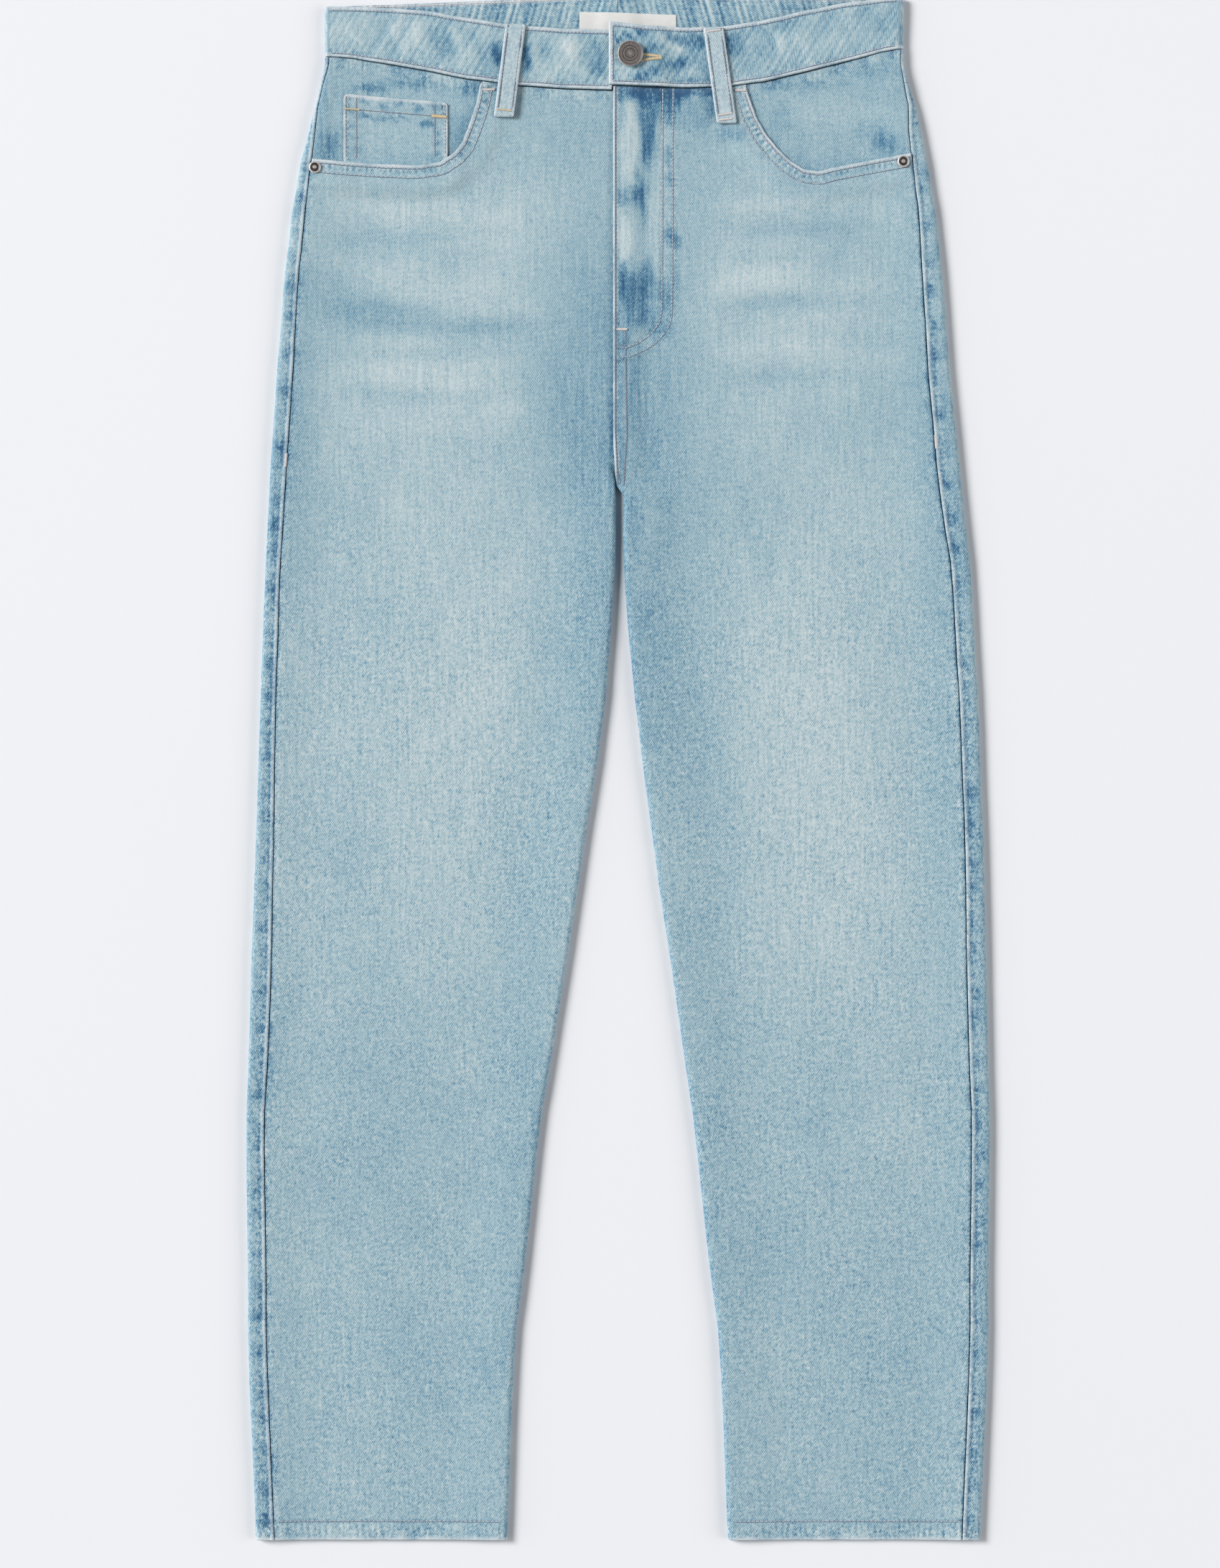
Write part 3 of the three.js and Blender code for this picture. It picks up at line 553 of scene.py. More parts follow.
def shell(name, outer, inner, material, outer_marks, inner_marks):
    """A thin closed wall from two grids of points, with the marks on each face."""
    rows, columns = outer.shape[:2]
    ids = np.arange(2 * rows * columns).reshape(2, rows, columns)
    top, under = ids

    def quads(a, b, c, d):
        return np.stack([a.ravel(), b.ravel(), c.ravel(), d.ravel()], axis=1)

    faces = np.concatenate([
        quads(top[:-1, :-1], top[1:, :-1], top[1:, 1:], top[:-1, 1:]),
        quads(under[:-1, :-1], under[:-1, 1:], under[1:, 1:], under[1:, :-1]),
        quads(top[:-1, 0], under[:-1, 0], under[1:, 0], top[1:, 0]),
        quads(top[:-1, -1], top[1:, -1], under[1:, -1], under[:-1, -1]),
        quads(top[0, :-1], top[0, 1:], under[0, 1:], under[0, :-1]),
        quads(top[-1, :-1], under[-1, :-1], under[-1, 1:], top[-1, 1:]),
    ])
    points = np.concatenate([outer.reshape(-1, 3), inner.reshape(-1, 3)])
    a, b, c, d = (points[faces[:, k]] for k in range(4))
    volume = (a * np.cross(b, c)).sum() + (a * np.cross(c, d)).sum()
    if volume < 0:
        faces = faces[:, ::-1]
    values = {key: np.concatenate([np.broadcast_to(marks[key], outer.shape[:2]).ravel()
                                   for marks in (outer_marks, inner_marks)])
              for key in ("wash", "rub", "grain")}
    lengthwise, crosswise = (np.concatenate([marks[key].ravel() for marks in (outer_marks, inner_marks)])
                             for key in ("u", "v"))
    values["cloth"] = np.stack([crosswise, lengthwise, 0 * crosswise], axis=1)
    values["tick"] = np.concatenate([marks["tick"].reshape(-1, 3) for marks in (outer_marks, inner_marks)])
    return mesh_object(name, points, faces.tolist(), material, values)


class Marks(dict):
    """What shows on a face: its height over the plain cloth, how faded it is with painted shade added,
    how worn its edges are and how strongly it is mottled, with the cloth's own places u (lengthwise) and v."""

    def __init__(self, u, v):
        u, v = np.broadcast_arrays(np.asarray(u, float), np.asarray(v, float))
        zero = np.zeros(u.shape)
        super().__init__(u=u.copy(), v=v.copy(), height=zero, wash=zero.copy(), rub=zero.copy(),
                         grain=zero.copy(), tick=np.zeros((*u.shape, 3)))

    def add(self, **parts):
        for key, value in parts.items():
            self[key] = self[key] + value
        return self

    def set_ticks(self, along, aside, strength):
        """Fine puckers: one to each unit along, and this strong; the strongest row counts."""
        along, aside, strength = np.broadcast_arrays(along, aside, strength)
        shape = self["tick"].shape[:-1]
        row = np.stack([np.broadcast_to(part, shape) for part in (along, aside, strength)], axis=-1)
        self["tick"] = np.where(row[..., 2:] > self["tick"][..., 2:], row, self["tick"])
        return self


# Wash, painted shade, creases and puckers

BROAD, BLOTCH, TICK, WAVE = Noise(11), Noise(23), Noise(37), Noise(51)

# Soft pale (above 0) and dark (below 0) areas, with their half widths and half lengths
FADES = table("""
    x     down  wide  long  amount
    -97   470   62    190   0.34
    -70   500   34    120   0.16
    -150  330   45    60    0.10
    118   440   52    170   0.32
    140   560   40    90    0.20
    120   240   60    40    0.10
    -219  235   9     70    -0.45
    -212  330   14    60    -0.10
    212   250   10    70    -0.25
    214   400   14    150   -0.20
    -205  520   22    210   0.16
    -30   230   24    80    -0.16
    -24   380   20    110   -0.40
    -60   640   18    140   -0.28
    32    310   26    70    -0.24
    26    430   18    120   -0.24
    62    640   16    140   -0.26
    -140  720   70    70    -0.14
    140   760   80    90    -0.08
    0     700   240   200   0.06
    -66   160   26    40    0.22
    -120  215   60    60    0.06
    78    172   30    50    0.14
    196   560   26    210   0.18
    -150  200   60    14    -0.10
""")

# Soft ridges (height above 0) and troughs, with how pale they are
CREASES = table("""
    x0    down0  x1    down1  bow   width  height  wash
    -205  137    -60   141    2     4      0.30    0.26
    -190  145    -48   148    3     5      0.20    0.30
    -200  158    -95   161    2     4      -0.20   -0.26
    -170  167    -45   166    -3    4      0.15    0.16
    -208  173    -110  181    4     5      0.15    0.22
    -196  188    -50   192    3     7      0.35    0.44
    -205  203    -90   206    3     5      -0.25   -0.34
    -165  201    -30   204    4     5      0.30    0.34
    -190  216    -45   219    4     4      -0.30   -0.36
    -208  226    -100  229    3     4      0.10    0.20
    -205  241    -50   243    5     4      0.25    0.34
    -195  249    -60   257    5     5      0.45    0.52
    -200  259    -90   264    4     4      -0.25   -0.34
    -170  268    -45   273    3     4      0.15    0.26
    -190  281    -40   287    4     7      0.15    0.14
    -150  292    -60   296    2     4      -0.10   -0.16
    52    139    190   134    2     4      0.25    0.24
    95    146    200   143    2     4      0.15    0.22
    60    156    180   152    2     4      -0.15   -0.18
    48    168    150   165    -2    5      0.15    0.16
    50    194    140   191    -4    7      0.35    0.42
    120   197    200   192    -2    5      0.10    0.16
    60    208    180   203    -3    4      -0.25   -0.26
    70    222    200   214    -3    4      0.10    0.16
    52    239    150   234    -3    4      0.20    0.24
    90    249    205   241    -4    5      0.25    0.24
    62    258    180   252    -3    4      -0.20   -0.22
    75    274    190   267    -3    5      0.10    0.12
    11    317    21    385    4     4      -0.30   -0.22
    16    330    30    410    3     5      0.25    0.18
    24    345    30    450    2     4      -0.15   -0.12
    -30   340    -40   430    -4    8      0.25    0.10
    -150  380    -120  560    8     22     0.40    0.05
    -60   450    -90   640    -8    20     -0.30   -0.04
    110   360    140   540    10    24     0.40    0.05
    180   380    190   600    -6    16     -0.30   -0.05
    -190  600    -175  800    6     18     0.35    0.04
    180   620    170   820    -6    20     0.35    0.04
    -120  700    -110  900    8     24     -0.30   -0.05
    120   740    115   930    -8    22     0.30    0.05
""")


def add_creases(marks, x, down, rows, strength=1.0):
    for row in rows:
        dx, dd = row["x1"] - row["x0"], row["down1"] - row["down0"]
        length = math.hypot(dx, dd)
        t = ((x - row["x0"]) * dx + (down - row["down0"]) * dd) / length ** 2
        wander = 0.35 * row["width"] * WAVE(t * length / 26 + row["x0"], row["down0"] / 7)
        aside = ((down - row["down0"]) * dx - (x - row["x0"]) * dd) / length
        aside = aside - row["bow"] * 4 * t * (1 - t) - wander
        taper = np.clip(np.minimum(t, 1 - t) * 3.2, 0, 1)
        taper = taper * taper * (3 - 2 * taper)
        swell = 0.8 + 0.5 * WAVE(t * length / 34 + 5, row["x0"] / 9)
        shape = bell(aside, 0, row["width"]) * taper * swell * strength
        marks.add(height=row["height"] * shape, wash=row["wash"] * shape)
    return marks


def add_fades(marks, x, down):
    for row in FADES:
        shape = bell(x, row["x"], row["wide"]) * bell(down, row["down"], row["long"])
        marks.add(wash=row["amount"] * shape)
    return marks


def add_cloth(marks, x, down):
    """The slow unevenness that all of the cloth has."""
    upper = soft_ramp(-down, -460, -230)
    marks.add(wash=0.16 * BROAD.rough(x / 46, down / 70) + 0.08 * BLOTCH.rough(x / 11, down / 17),
              grain=0.75 * upper * (1 + 0.4 * BROAD.rough(x / 30 + 50, down / 40)),
              height=0.18 * BROAD.rough(x / 31 + 9, down / 44))
    return marks


INSIDE_WASH = -0.5
LOOP_INSIDE_WASH = -0.4


def panel_inside(side, across, down):
    """The darker, slightly uneven inner face of a panel."""
    return Marks(down, side.sign * across).add(wash=-0.55 + 0.2 * BROAD.rough(across / 40, down / 60))


# How each kind of seam shows, away from its edge: a pale ridge, a stitched groove with painted shade
# in it, broad puckers (pitch, pucker and their fading) and fine ones between the edge and the reach
SEAMS = {row["name"]: row for row in table("""
    name      ridge  ridge_at  ridge_width  groove  groove_at  dark  pitch  reach  pucker  wash   rub   fine
    scoop     0.30   1.1       1.1          -0.15   4.8        0.2   8.0    8.4    0.22    0.25   1.00  1.7
    outseam   0.05   2.6       1.6          -0.20   0.2        0.5   8.5    6.0    0.20    0.20   0.05  0
    strip     0.50   1.1       0.8          -0.15   2.9        0.6   9.0    8.0    0.20    0.15   0.62  0.5
    waist     0.50   0.0       2.2          -0.10   0.3        0.3   6.5    9.0    0.26    0.40   0.10  0.5
    rim       0.25   1.0       1.1          -0.15   2.9        0.3   9.0    7.0    0.22    0.30   1.00  0
    foot      0.30   1.1       1.1          -0.15   3.2        0.3   7.5    8.0    0.24    0.35   1.00  0
    fly       0.50   1.2       1.0          -0.15   3.2        0.3   9.0    6.0    0.14    0.15   1.10  0.3
    pocket    0.22   1.0       1.0          -0.10   2.6        0.2   7.5    5.0    0.18    0.35   0.90  1.4
    hem       0.15   0.8       0.8          -0.20   12.5       0.3   9.0    14.0   0.26    0.35   0.90  0.8
    under     0.20   1.0       0.9          -0.10   3.0        0.3   8.0    9.0    0.18    0.40   0.60  0.2
""")}
TICK_PITCH = 4.1


def add_seam(marks, name, distance, along, seed, strength=1.0):
    """Puckers, wear and painted shade in the groove along a seam, from each point's distance and place along
    it.
    """
    seam = SEAMS[name]
    fade = soft_ramp(distance, 0.45 * seam["reach"], seam["reach"]) * (distance > -2) * strength
    wave = TICK(along / seam["pitch"] + seed, distance / 14 + seed) * 1.25
    ridge = bell(distance, seam["ridge_at"], seam["ridge_width"]) * strength
    groove = bell(distance, seam["groove_at"], 0.7) * strength
    # The groove's darkening is painted shade
    marks.add(
        height=seam["pucker"] * wave * fade + seam["ridge"] * ridge + seam["groove"] * groove,
        wash=seam["wash"] * wave * fade - seam["dark"] * groove,
        rub=seam["rub"] * ridge * (0.8 + 0.3 * wave),
        grain=0.6 * fade,
    )
    uneven = 0.75 + 0.6 * TICK(along / 23 + seed, 0.5)
    clear = np.clip((distance - 1.6) / 1.2, 0, 1)
    fine = seam["fine"] * fade * uneven * clear
    return marks.set_ticks(along / TICK_PITCH + 3.7 * seed, distance / 13, fine)


def add_patches(marks, x, down, rows):
    """Irregular pale or dark patches with fairly firm edges."""
    x = x + 1.6 * WAVE(x / 5.5 + 40, down / 9)
    down = down + 3.0 * WAVE(x / 3.5 + 80, down / 14)
    for row in rows:
        square = ((x - row["x"]) / row["wide"]) ** 2 + ((down - row["down"]) / row["long"]) ** 2
        marks.add(wash=row["amount"] * np.exp(-0.4 * square ** 2.2))
    return marks


# Front panels

STRIP_PLACES = np.array([1.2, 2.4, 3.6, 4.8, 6.0, 7.2, 8.0, 8.6, 9.1, 9.45, STRIP]) / STRIP
BLOCK_DOWN = 139.0
BLOCK_HEIGHT = 70.0
GRID = 2.7
J_STITCH = table("""
    outer_x  outer_down  inner_x  inner_down
    36.5     61.8        29.7     61.8
    36.3     110         29.5     110
    36.1     160         29.4     160
    35.8     209.9       29.2     208.1
    35.3     215.2       27.6     217.3
    32.3     222.3       21.9     224.5
    25.0     230.7       13.7     230.7
    16.8     235.8       6.5      233.7
    8.6      239.4       0.4      233.7
    1.4      240.4       -0.6     233.6
    -0.7     239.9       -0.8     233.6
""")
J_OUTER = Line([(row["outer_x"], row["outer_down"]) for row in J_STITCH])
J_INNER = Line([(row["inner_x"], row["inner_down"]) for row in J_STITCH])

# Washed-out stripes and dark patches on the fly
FLY_PATCHES = table("""
    x     down  wide  long  amount
    7     66    9     5     -1.05
    20    65    9     7     -1.25
    34    65    9     9     -1.20
    50    64    14    3.6   -1.30
    48    77    17    11    -0.34
    62    72    3     10    -0.51
    77    92    8     5     -0.51
    34    80    3     6     -0.65
    3     82    2.0   10    -0.43
    19    86    4.5   19    -1.00
    25    78    3.5   10    -0.58
    7.8   98    4.4   29    0.80
    22    104   4     12    -0.54
    28    110   6     22    0.25
    32.5  105   2.2   6     -0.94
    33    123   2.4   5     -0.72
    2     100   1.6   26    0.25
    7     133   9     4.5   -0.65
    14    131   4     10    -0.69
    17    145   2.4   9     -0.58
    3.6   160   4.0   15    0.84
    10    158   3     12    0.21
    25    160   6     22    0.34
    33    160   4     6     -0.72
    39    162   4     4     -0.58
    9     195   8     10    -0.98
    20    191   3.5   15    -0.77
    4     186   2.6   8     -0.54
    31    200   4     10    -0.61
    38    192   3     12    -0.43
    14    213   8     7     -0.72
    28    222   6     5     -0.36
    4     228   3     8     -0.33
    17    228   7     4     0.17
    12    260   3     26    -0.21
    -1    285   3     30    -0.15
""")


def front_marks(side, out, down):
    x = side.sign * out
    marks = add_cloth(Marks(down, x), x, down)
    add_fades(marks, x, down)
    add_creases(marks, x, down, CREASES, 1.2)
    middle = soft_ramp(np.abs(out), 40, 60)
    distance, along = side.scoop_line.near(x, down, 12)
    add_seam(marks, "scoop", distance, along, 3 + side.sign)
    add_seam(marks, "waist", down - side.waist_seam(out) - WAIST_GAP, x, 7 + side.sign,
             1.0 * (out < side.scoop_end + 4))
    add_seam(marks, "outseam", side.out_edge(down) - out, down, 11 + side.sign, 1.0 * (down > 108))
    add_seam(marks, "hem", LENGTH - down, x, 15 + side.sign)
    if side is LEFT:
        add_patches(marks, x, down, FLY_PATCHES)
        edge = out - side.inner(down)
        add_seam(marks, "fly", edge, down, 19, 1.0 * soft_ramp(down, 312, 326))
        for line, reach in ((J_OUTER, 4.0), (J_INNER, 3.0)):
            distance, along = line.near(x, down, reach + 3)
            fade = soft_ramp(distance, 0.5, reach)
            tick = TICK(along / 6.5 + reach, 0)
            marks.add(height=0.14 * tick * fade - 0.12 * bell(distance, 0, 0.7),
                      wash=0.20 * tick * fade, grain=0.4 * fade)
            marks.set_ticks(along / TICK_PITCH + 50, distance / 13, 0.5 * fade)
    else:
        # Painted shade: a dark strip beside the fly's overlapping edge, over a shallow groove
        line = bell(x, -4.0, 1.1) * soft_ramp(down, 308, 326)
        marks.add(wash=-0.55 * line * (0.3 + soft_ramp(-down, -290, -200)), height=-0.3 * line)
    settle = np.clip((out - side.inner(down)) / 8, 0, 1)
    folded = roll(side, down)
    marks["height"] = np.clip(marks["height"] * mix(1, settle, folded), -0.45, 1.2) * (1 - 0.3 * middle)
    return marks


def front_surface(side, out, down):
    """The height of the front panel's outer face, creases included."""
    return front_top(side, out, down) + front_marks(side, out, down)["height"]


def panel_top_line(side):
    """The front panel's upper edge, from the outseam along the pocket opening and the waist seam."""
    down = 108.0
    for _ in range(20):
        down = float(side.scoop(side.out_edge(down)))
    outs = np.linspace(side.out_edge(down), side.scoop_end, 240)
    scoop = np.stack([outs, side.scoop(outs)], axis=1)
    outs = np.linspace(side.scoop_end, side.inner(50), 120)
    waist = np.stack([outs, side.waist_seam(outs) + WAIST_GAP], axis=1)
    corner = np.hypot(*np.diff(scoop, axis=0).T).sum()
    return Line(np.concatenate([scoop, waist]), 0.5), corner


def level_rows(top):
    """The rows of a panel from the hem up to this place, one of them on each side of the hem's edge."""
    rows = LENGTH - graded(LENGTH - top, GRID, end=False)
    return np.sort(np.append(rows, [HEM_TOP + 0.4, HEM_TOP - 1.6]))[::-1]


def panel_cloth(down):
    return np.where(down > HEM_TOP - 0.5, HEM_CLOTH, CLOTH)


def front_places(side):
    """Where the front panel's rows and columns lie: level below BLOCK_DOWN, and above it closing up
    to the panel's edge. Gives each column's share of the width, the level rows, the places above
    them and the panel's upper edge."""
    width = float(side.out_edge(400) - strip_start(side, 400))
    shares = graded(width, GRID, end=False) / width
    level = level_rows(BLOCK_DOWN)
    top_line, corner = panel_top_line(side)
    base = np.concatenate([
        mix(side.out_edge(BLOCK_DOWN), strip_start(side, BLOCK_DOWN), shares),
        strip_start(side, BLOCK_DOWN) - STRIP_PLACES * STRIP,
    ])
    along = (base[0] - base) / (base[0] - base[-1]) * top_line.length
    along[np.abs(along - corner).argmin()] = corner
    tops = top_line.at(along)
    steps = (graded(BLOCK_HEIGHT, GRID, start=False) / BLOCK_HEIGHT)[1:, None]
    block_out = mix(base[None, :], tops[None, :, 0], steps)
    block_down = mix(BLOCK_DOWN, tops[None, :, 1], steps)
    return shares, level[:, None], block_out, block_down, top_line


def front_panel(side):
    shares, level, block_out, block_down, top_line = front_places(side)
    level_out = mix(side.out_edge(level), strip_start(side, level), shares[None, :])
    strip_out = strip_point(side, level, STRIP_PLACES[None, :], 0)[..., 0] * side.sign
    out = np.concatenate([np.concatenate([level_out, strip_out], axis=1), block_out])
    down = np.concatenate([np.broadcast_to(level, (level.size, out.shape[1])), block_down])
    marks = front_marks(side, out, down)
    inner_edge = np.where(roll(side, down) < FLAT, out - side.inner(down), NO_EDGE)
    near_top = top_line.near(out, down, 2)[0]
    drop = edge_drop(nearest(side.out_edge(down) - out, inner_edge, LENGTH - down, near_top))
    depth = drop - marks["height"]
    cloth = panel_cloth(down)
    # Painted shade: the inner strip darkens as it folds under towards the gap between the legs
    fold_under_shade = np.zeros_like(down)
    fold_under_shade[:level.size, shares.size:] = STRIP_PLACES
    marks.add(wash=-0.9 * fold_under_shade * roll(side, down))
    under = cloth - 0.7 * marks["height"] * np.clip((down - 150) / 30, 0, 1) * np.clip((out - 24) / 12, 0, 1)

    def face(depth):
        rows = level.size
        flat = place(side, out, down, front_top(side, out, down) - depth)
        strip = slice(shares.size, None)
        flat[:rows, strip] = strip_point(side, level, STRIP_PLACES[None, :], depth[:rows, strip])
        return flat

    inside = panel_inside(side, out, down)
    return shell("front_panel_" + side.name, face(depth), face(under), DENIM, marks, inside)


# Back panels and yokes

BACK_BLOCK_DOWN = 150.0
BACK_BLOCK_HEIGHT = 80.0
UNDER_WIDTH = 225.0
UNDER_GRID = 4.5
FOLD_WIDTH = 18.0
FOLD_GRID = 1.4
BLOT_PITCH = 22.0
BLOT_RANDOM = np.random.default_rng(5)
BLOTS = {side.name: np.stack([
    np.arange(130, LENGTH, BLOT_PITCH) + BLOT_RANDOM.uniform(-6, 6, 41),
    BLOT_RANDOM.uniform(0.35, 1.25, 41),
    BLOT_RANDOM.uniform(2.0, 3.6, 41),
], axis=1) for side in SIDES}


def strip_marks(side, along, down):
    """The back panel where it comes round to the outseam on the front, and its underside."""
    from_seam = side.seam_along(down) - along
    middle = side.outer(down) - FOLD_RADIUS + QUARTER
    out = middle - np.abs(along)
    x = side.sign * out
    marks = Marks(down, side.sign * (middle - along))
    add_cloth(marks, x, down)
    seam = np.clip(from_seam, 0, None)
    add_seam(marks, "strip", seam, down, 23 + side.sign)
    across = bell(seam, 4.6, 2.6)
    for spot, strength, size in BLOTS[side.name]:
        blot = strength * across * np.exp(-0.5 * (np.abs(down - spot) / size) ** 2.6)
        marks.add(wash=-0.85 * blot, height=-0.15 * blot)
    hip = soft_ramp(down, 200, 330)
    marks.add(wash=-0.12 + hip * np.minimum(0.9 * TICK.rough(down / 13 + side.sign, seam / 16), 0.2),
              grain=0.3)
    return marks


def back_marks(side, along, down):
    marks = strip_marks(side, along, down)
    out = side.outer(down) - FOLD_RADIUS + QUARTER + along
    under = np.clip(-along - QUARTER, 0, 12) / 12
    add_seam(marks, "under", np.abs(down - yoke_seam(out)), out, 27 + side.sign, under * (down < 135))
    add_seam(marks, "under", out - back_inner(side, down), down, 31 + side.sign, under * (down < 325))
    add_seam(marks, "hem", LENGTH - down, side.sign * out, 35 + side.sign)
    seat = bell(out, 105, 55) * bell(down, 240, 110) + bell(out, 125, 40) * bell(down, 520, 170)
    marks.add(wash=0.35 * seat * under - 0.12 * under)
    marks["height"] = np.clip(marks["height"] * mix(1, 0.45, under), -0.45, 1.0)
    marks["height"] = np.where(along < -QUARTER, np.minimum(marks["height"], 0), marks["height"])
    return marks


def back_face(side, down, along, depth):
    return section_point(side, down, along, depth, top=resting_top)


def back_piece(name, side, along, down, extra_edge):
    """A back panel or yoke: from the outseam, round the side fold and along the underside."""
    marks = back_marks(side, along, down)
    edge = np.minimum(side.seam_along(down) - along, extra_edge)
    drop = edge_drop(edge)
    cloth = panel_cloth(down)
    inside = panel_inside(side, along, down)
    return shell(name, back_face(side, down, along, drop - marks["height"]),
                 back_face(side, down, along, cloth), DENIM, marks, inside)


def fold_places(side, down):
    """Columns from the outseam to where the underside begins."""
    seam = side.seam_along(down)
    shares = graded(FOLD_WIDTH, FOLD_GRID, end=False) / FOLD_WIDTH
    return mix(seam, -QUARTER, shares[None, :])


def back_panel(side):
    level = level_rows(BACK_BLOCK_DOWN)[:, None]
    under_shares = (graded(UNDER_WIDTH, UNDER_GRID, start=False) / UNDER_WIDTH)[None, 1:]

    def columns(down):
        under = mix(side.outer(down) - FOLD_RADIUS, back_inner(side, down), under_shares)
        return np.concatenate([fold_places(side, down), -side.along_of(down, under)], axis=1)

    folds = fold_places(side, level[:1]).shape[1]
    top = np.full((1, folds + under_shares.size), BACK_BLOCK_DOWN)
    for _ in range(12):
        under = mix(side.outer(top[:, folds:]) - FOLD_RADIUS, back_inner(side, top[:, folds:]), under_shares)
        out = np.concatenate([np.full((1, folds), side.outer(YOKE_AT_SIDE)), under], axis=1)
        top = mix(top, yoke_seam(out) + SEAM_GAP / 2, 0.7)
    steps = (graded(BACK_BLOCK_HEIGHT, GRID, start=False) / BACK_BLOCK_HEIGHT)[1:, None]
    block_down = mix(BACK_BLOCK_DOWN, top, steps)
    folded = np.stack([fold_places(side, block_down[:, k:k + 1])[:, k] for k in range(folds)], axis=1)
    lower = block_down[:, folds:]
    under = mix(side.outer(lower) - FOLD_RADIUS, back_inner(side, lower), under_shares)
    block_along = np.concatenate([folded, -side.along_of(lower, under)], axis=1)
    along = np.concatenate([columns(level), block_along])
    down = np.concatenate([np.broadcast_to(level, (level.size, along.shape[1])), block_down])
    out = side.outer(down) - FOLD_RADIUS + QUARTER + along
    above = np.where(along > -QUARTER, down - YOKE_AT_SIDE, down - yoke_seam(out)) - SEAM_GAP / 2
    inner_edge = np.where(along > -QUARTER, NO_EDGE, out - back_inner(side, down))
    edge = nearest(inner_edge, LENGTH - down, above)
    return back_piece("back_panel_" + side.name, side, along, down, edge)


def yoke(side):
    first = BACK_LOOP["out"] + 2 * LOOP_SHOULDER
    gap = float(side.outer(YOKE_AT_SIDE)) - FOLD_RADIUS - first
    fixed = first - graded(first - SEAM_GAP / 2, 3.0, start=False)
    shares = np.linspace(0, 1, max(int(gap / 3), 2) + 1)[1:-1]

    def alongs(down):
        near = mix(side.outer(down) - FOLD_RADIUS, first, shares[None, :])
        under = np.concatenate([near, np.broadcast_to(fixed, (down.shape[0], fixed.size))], axis=1)
        return np.concatenate([fold_places(side, down), -side.along_of(down, under)], axis=1)

    folds = fold_places(side, np.array([[60.0]])).shape[1]
    outs = np.concatenate([np.full(folds + shares.size, float(side.outer(YOKE_AT_SIDE))), fixed])[None, :]
    bottom = yoke_seam(outs) - SEAM_GAP / 2
    top = back_seam(side, outs) + SEAM_GAP
    steps = (graded(60, 2.4) / 60)[:, None]
    down = mix(bottom, top, steps)
    along = np.stack([alongs(down[:, k:k + 1])[:, k] for k in range(outs.size)], axis=1)
    centre_edge = np.where(np.arange(outs.size)[None, :] > folds, outs, NO_EDGE)
    return back_piece("yoke_" + side.name, side, along, down, nearest(bottom - down, down - top, centre_edge))


# Waistband halves, each from the front fastening round the side fold to the centre back

BAND_CREASES = table("""
    x0    down0  x1    down1  bow  width  height  wash
    -180  14     -168  36     1    2.6    0.35    0.35
    -158  14     -150  40     1    2.4    -0.30   -0.35
    -140  12     -124  42     2    2.6    0.35    0.35
    -128  14     -108  46     2    2.4    -0.30   -0.40
    -112  16     -96   48     1    2.6    0.35    0.30
    -98   20     -84   52     1    2.4    -0.35   -0.50
    -60   26     -52   54     1    2.8    0.30    0.25
    -50   28     -38   56     2    2.2    -0.30   -0.35
    -34   28     -22   58     1    2.8    0.30    0.30
    -22   30     -12   58     1    2.4    -0.35   -0.45
    20    26     34    52     2    2.6    -0.40   -0.60
    34    26     48    54     1    2.4    0.30    0.30
    44    28     58    50     1    2.4    -0.30   -0.35
    84    26     96    50     1    2.6    0.30    0.35
    100   22     112   48     1    2.4    -0.25   -0.30
    116   18     130   44     1    2.8    0.30    0.30
    134   16     146   40     1    2.4    -0.25   -0.30
    152   10     160   34     1    2.6    0.25    0.30
    168   10     176   30     1    2.4    -0.25   -0.30
    25    23     33    34     0    1.5    0.45    1.10
    31    32     46    39     0    1.6    0.45    1.00
    27    27     48    33     0    2.6    -0.25   -1.20
    9     57     30    49     0    2.6    -0.40   -1.50
    26    51     50    42     0    2.8    -0.40   -1.50
    30    58     56    50     0    2.0    0.30    0.60
    -84   30     -76   50     0    2.6    -0.45   -1.50
    -62   30     -58   54     0    2.0    -0.40   -1.30
    -38   26     -28   44     0    2.0    0.35    0.80
    -16   28     -8    50     0    2.2    -0.30   -0.90
    70    24     78    44     0    2.4    -0.35   -1.10
    104   20     110   44     0    2.0    0.30    0.70
    -150  16     -140  40     0    2.2    0.35    0.80
    -118  18     -106  44     0    2.2    -0.35   -0.90
""")
BAND_PATCHES = table("""
    x     down  wide  long  amount
    4     29.5  6     1.8   -1.10
    15    25    3     3     -1.30
    4     24    5     2.5   0.50
    23    36    6     2.5   -0.70
    5     51    7     4     0.40
    14    56    5     3     -0.80
    52    30    4     5     -0.90
    40    56    9     2.5   -0.45
    -78   38    3.5   9     -0.70
    -60.5 42    2.5   12    -0.60
    -70   50    5     4     -0.50
    77    32    5     6     -0.50
    60    50    5     5     -0.45
    -14   48    5     4     -0.50
    -30   34    10    4     0.35
    -46   50    8     4     0.25
    120   30    30    5     0.15
    -140  24    26    5     0.15
""")
BAND_FINENESS = 1.9
BAND_LEAN = math.radians(28)  # the left half is cut with its twill lines nearly upright


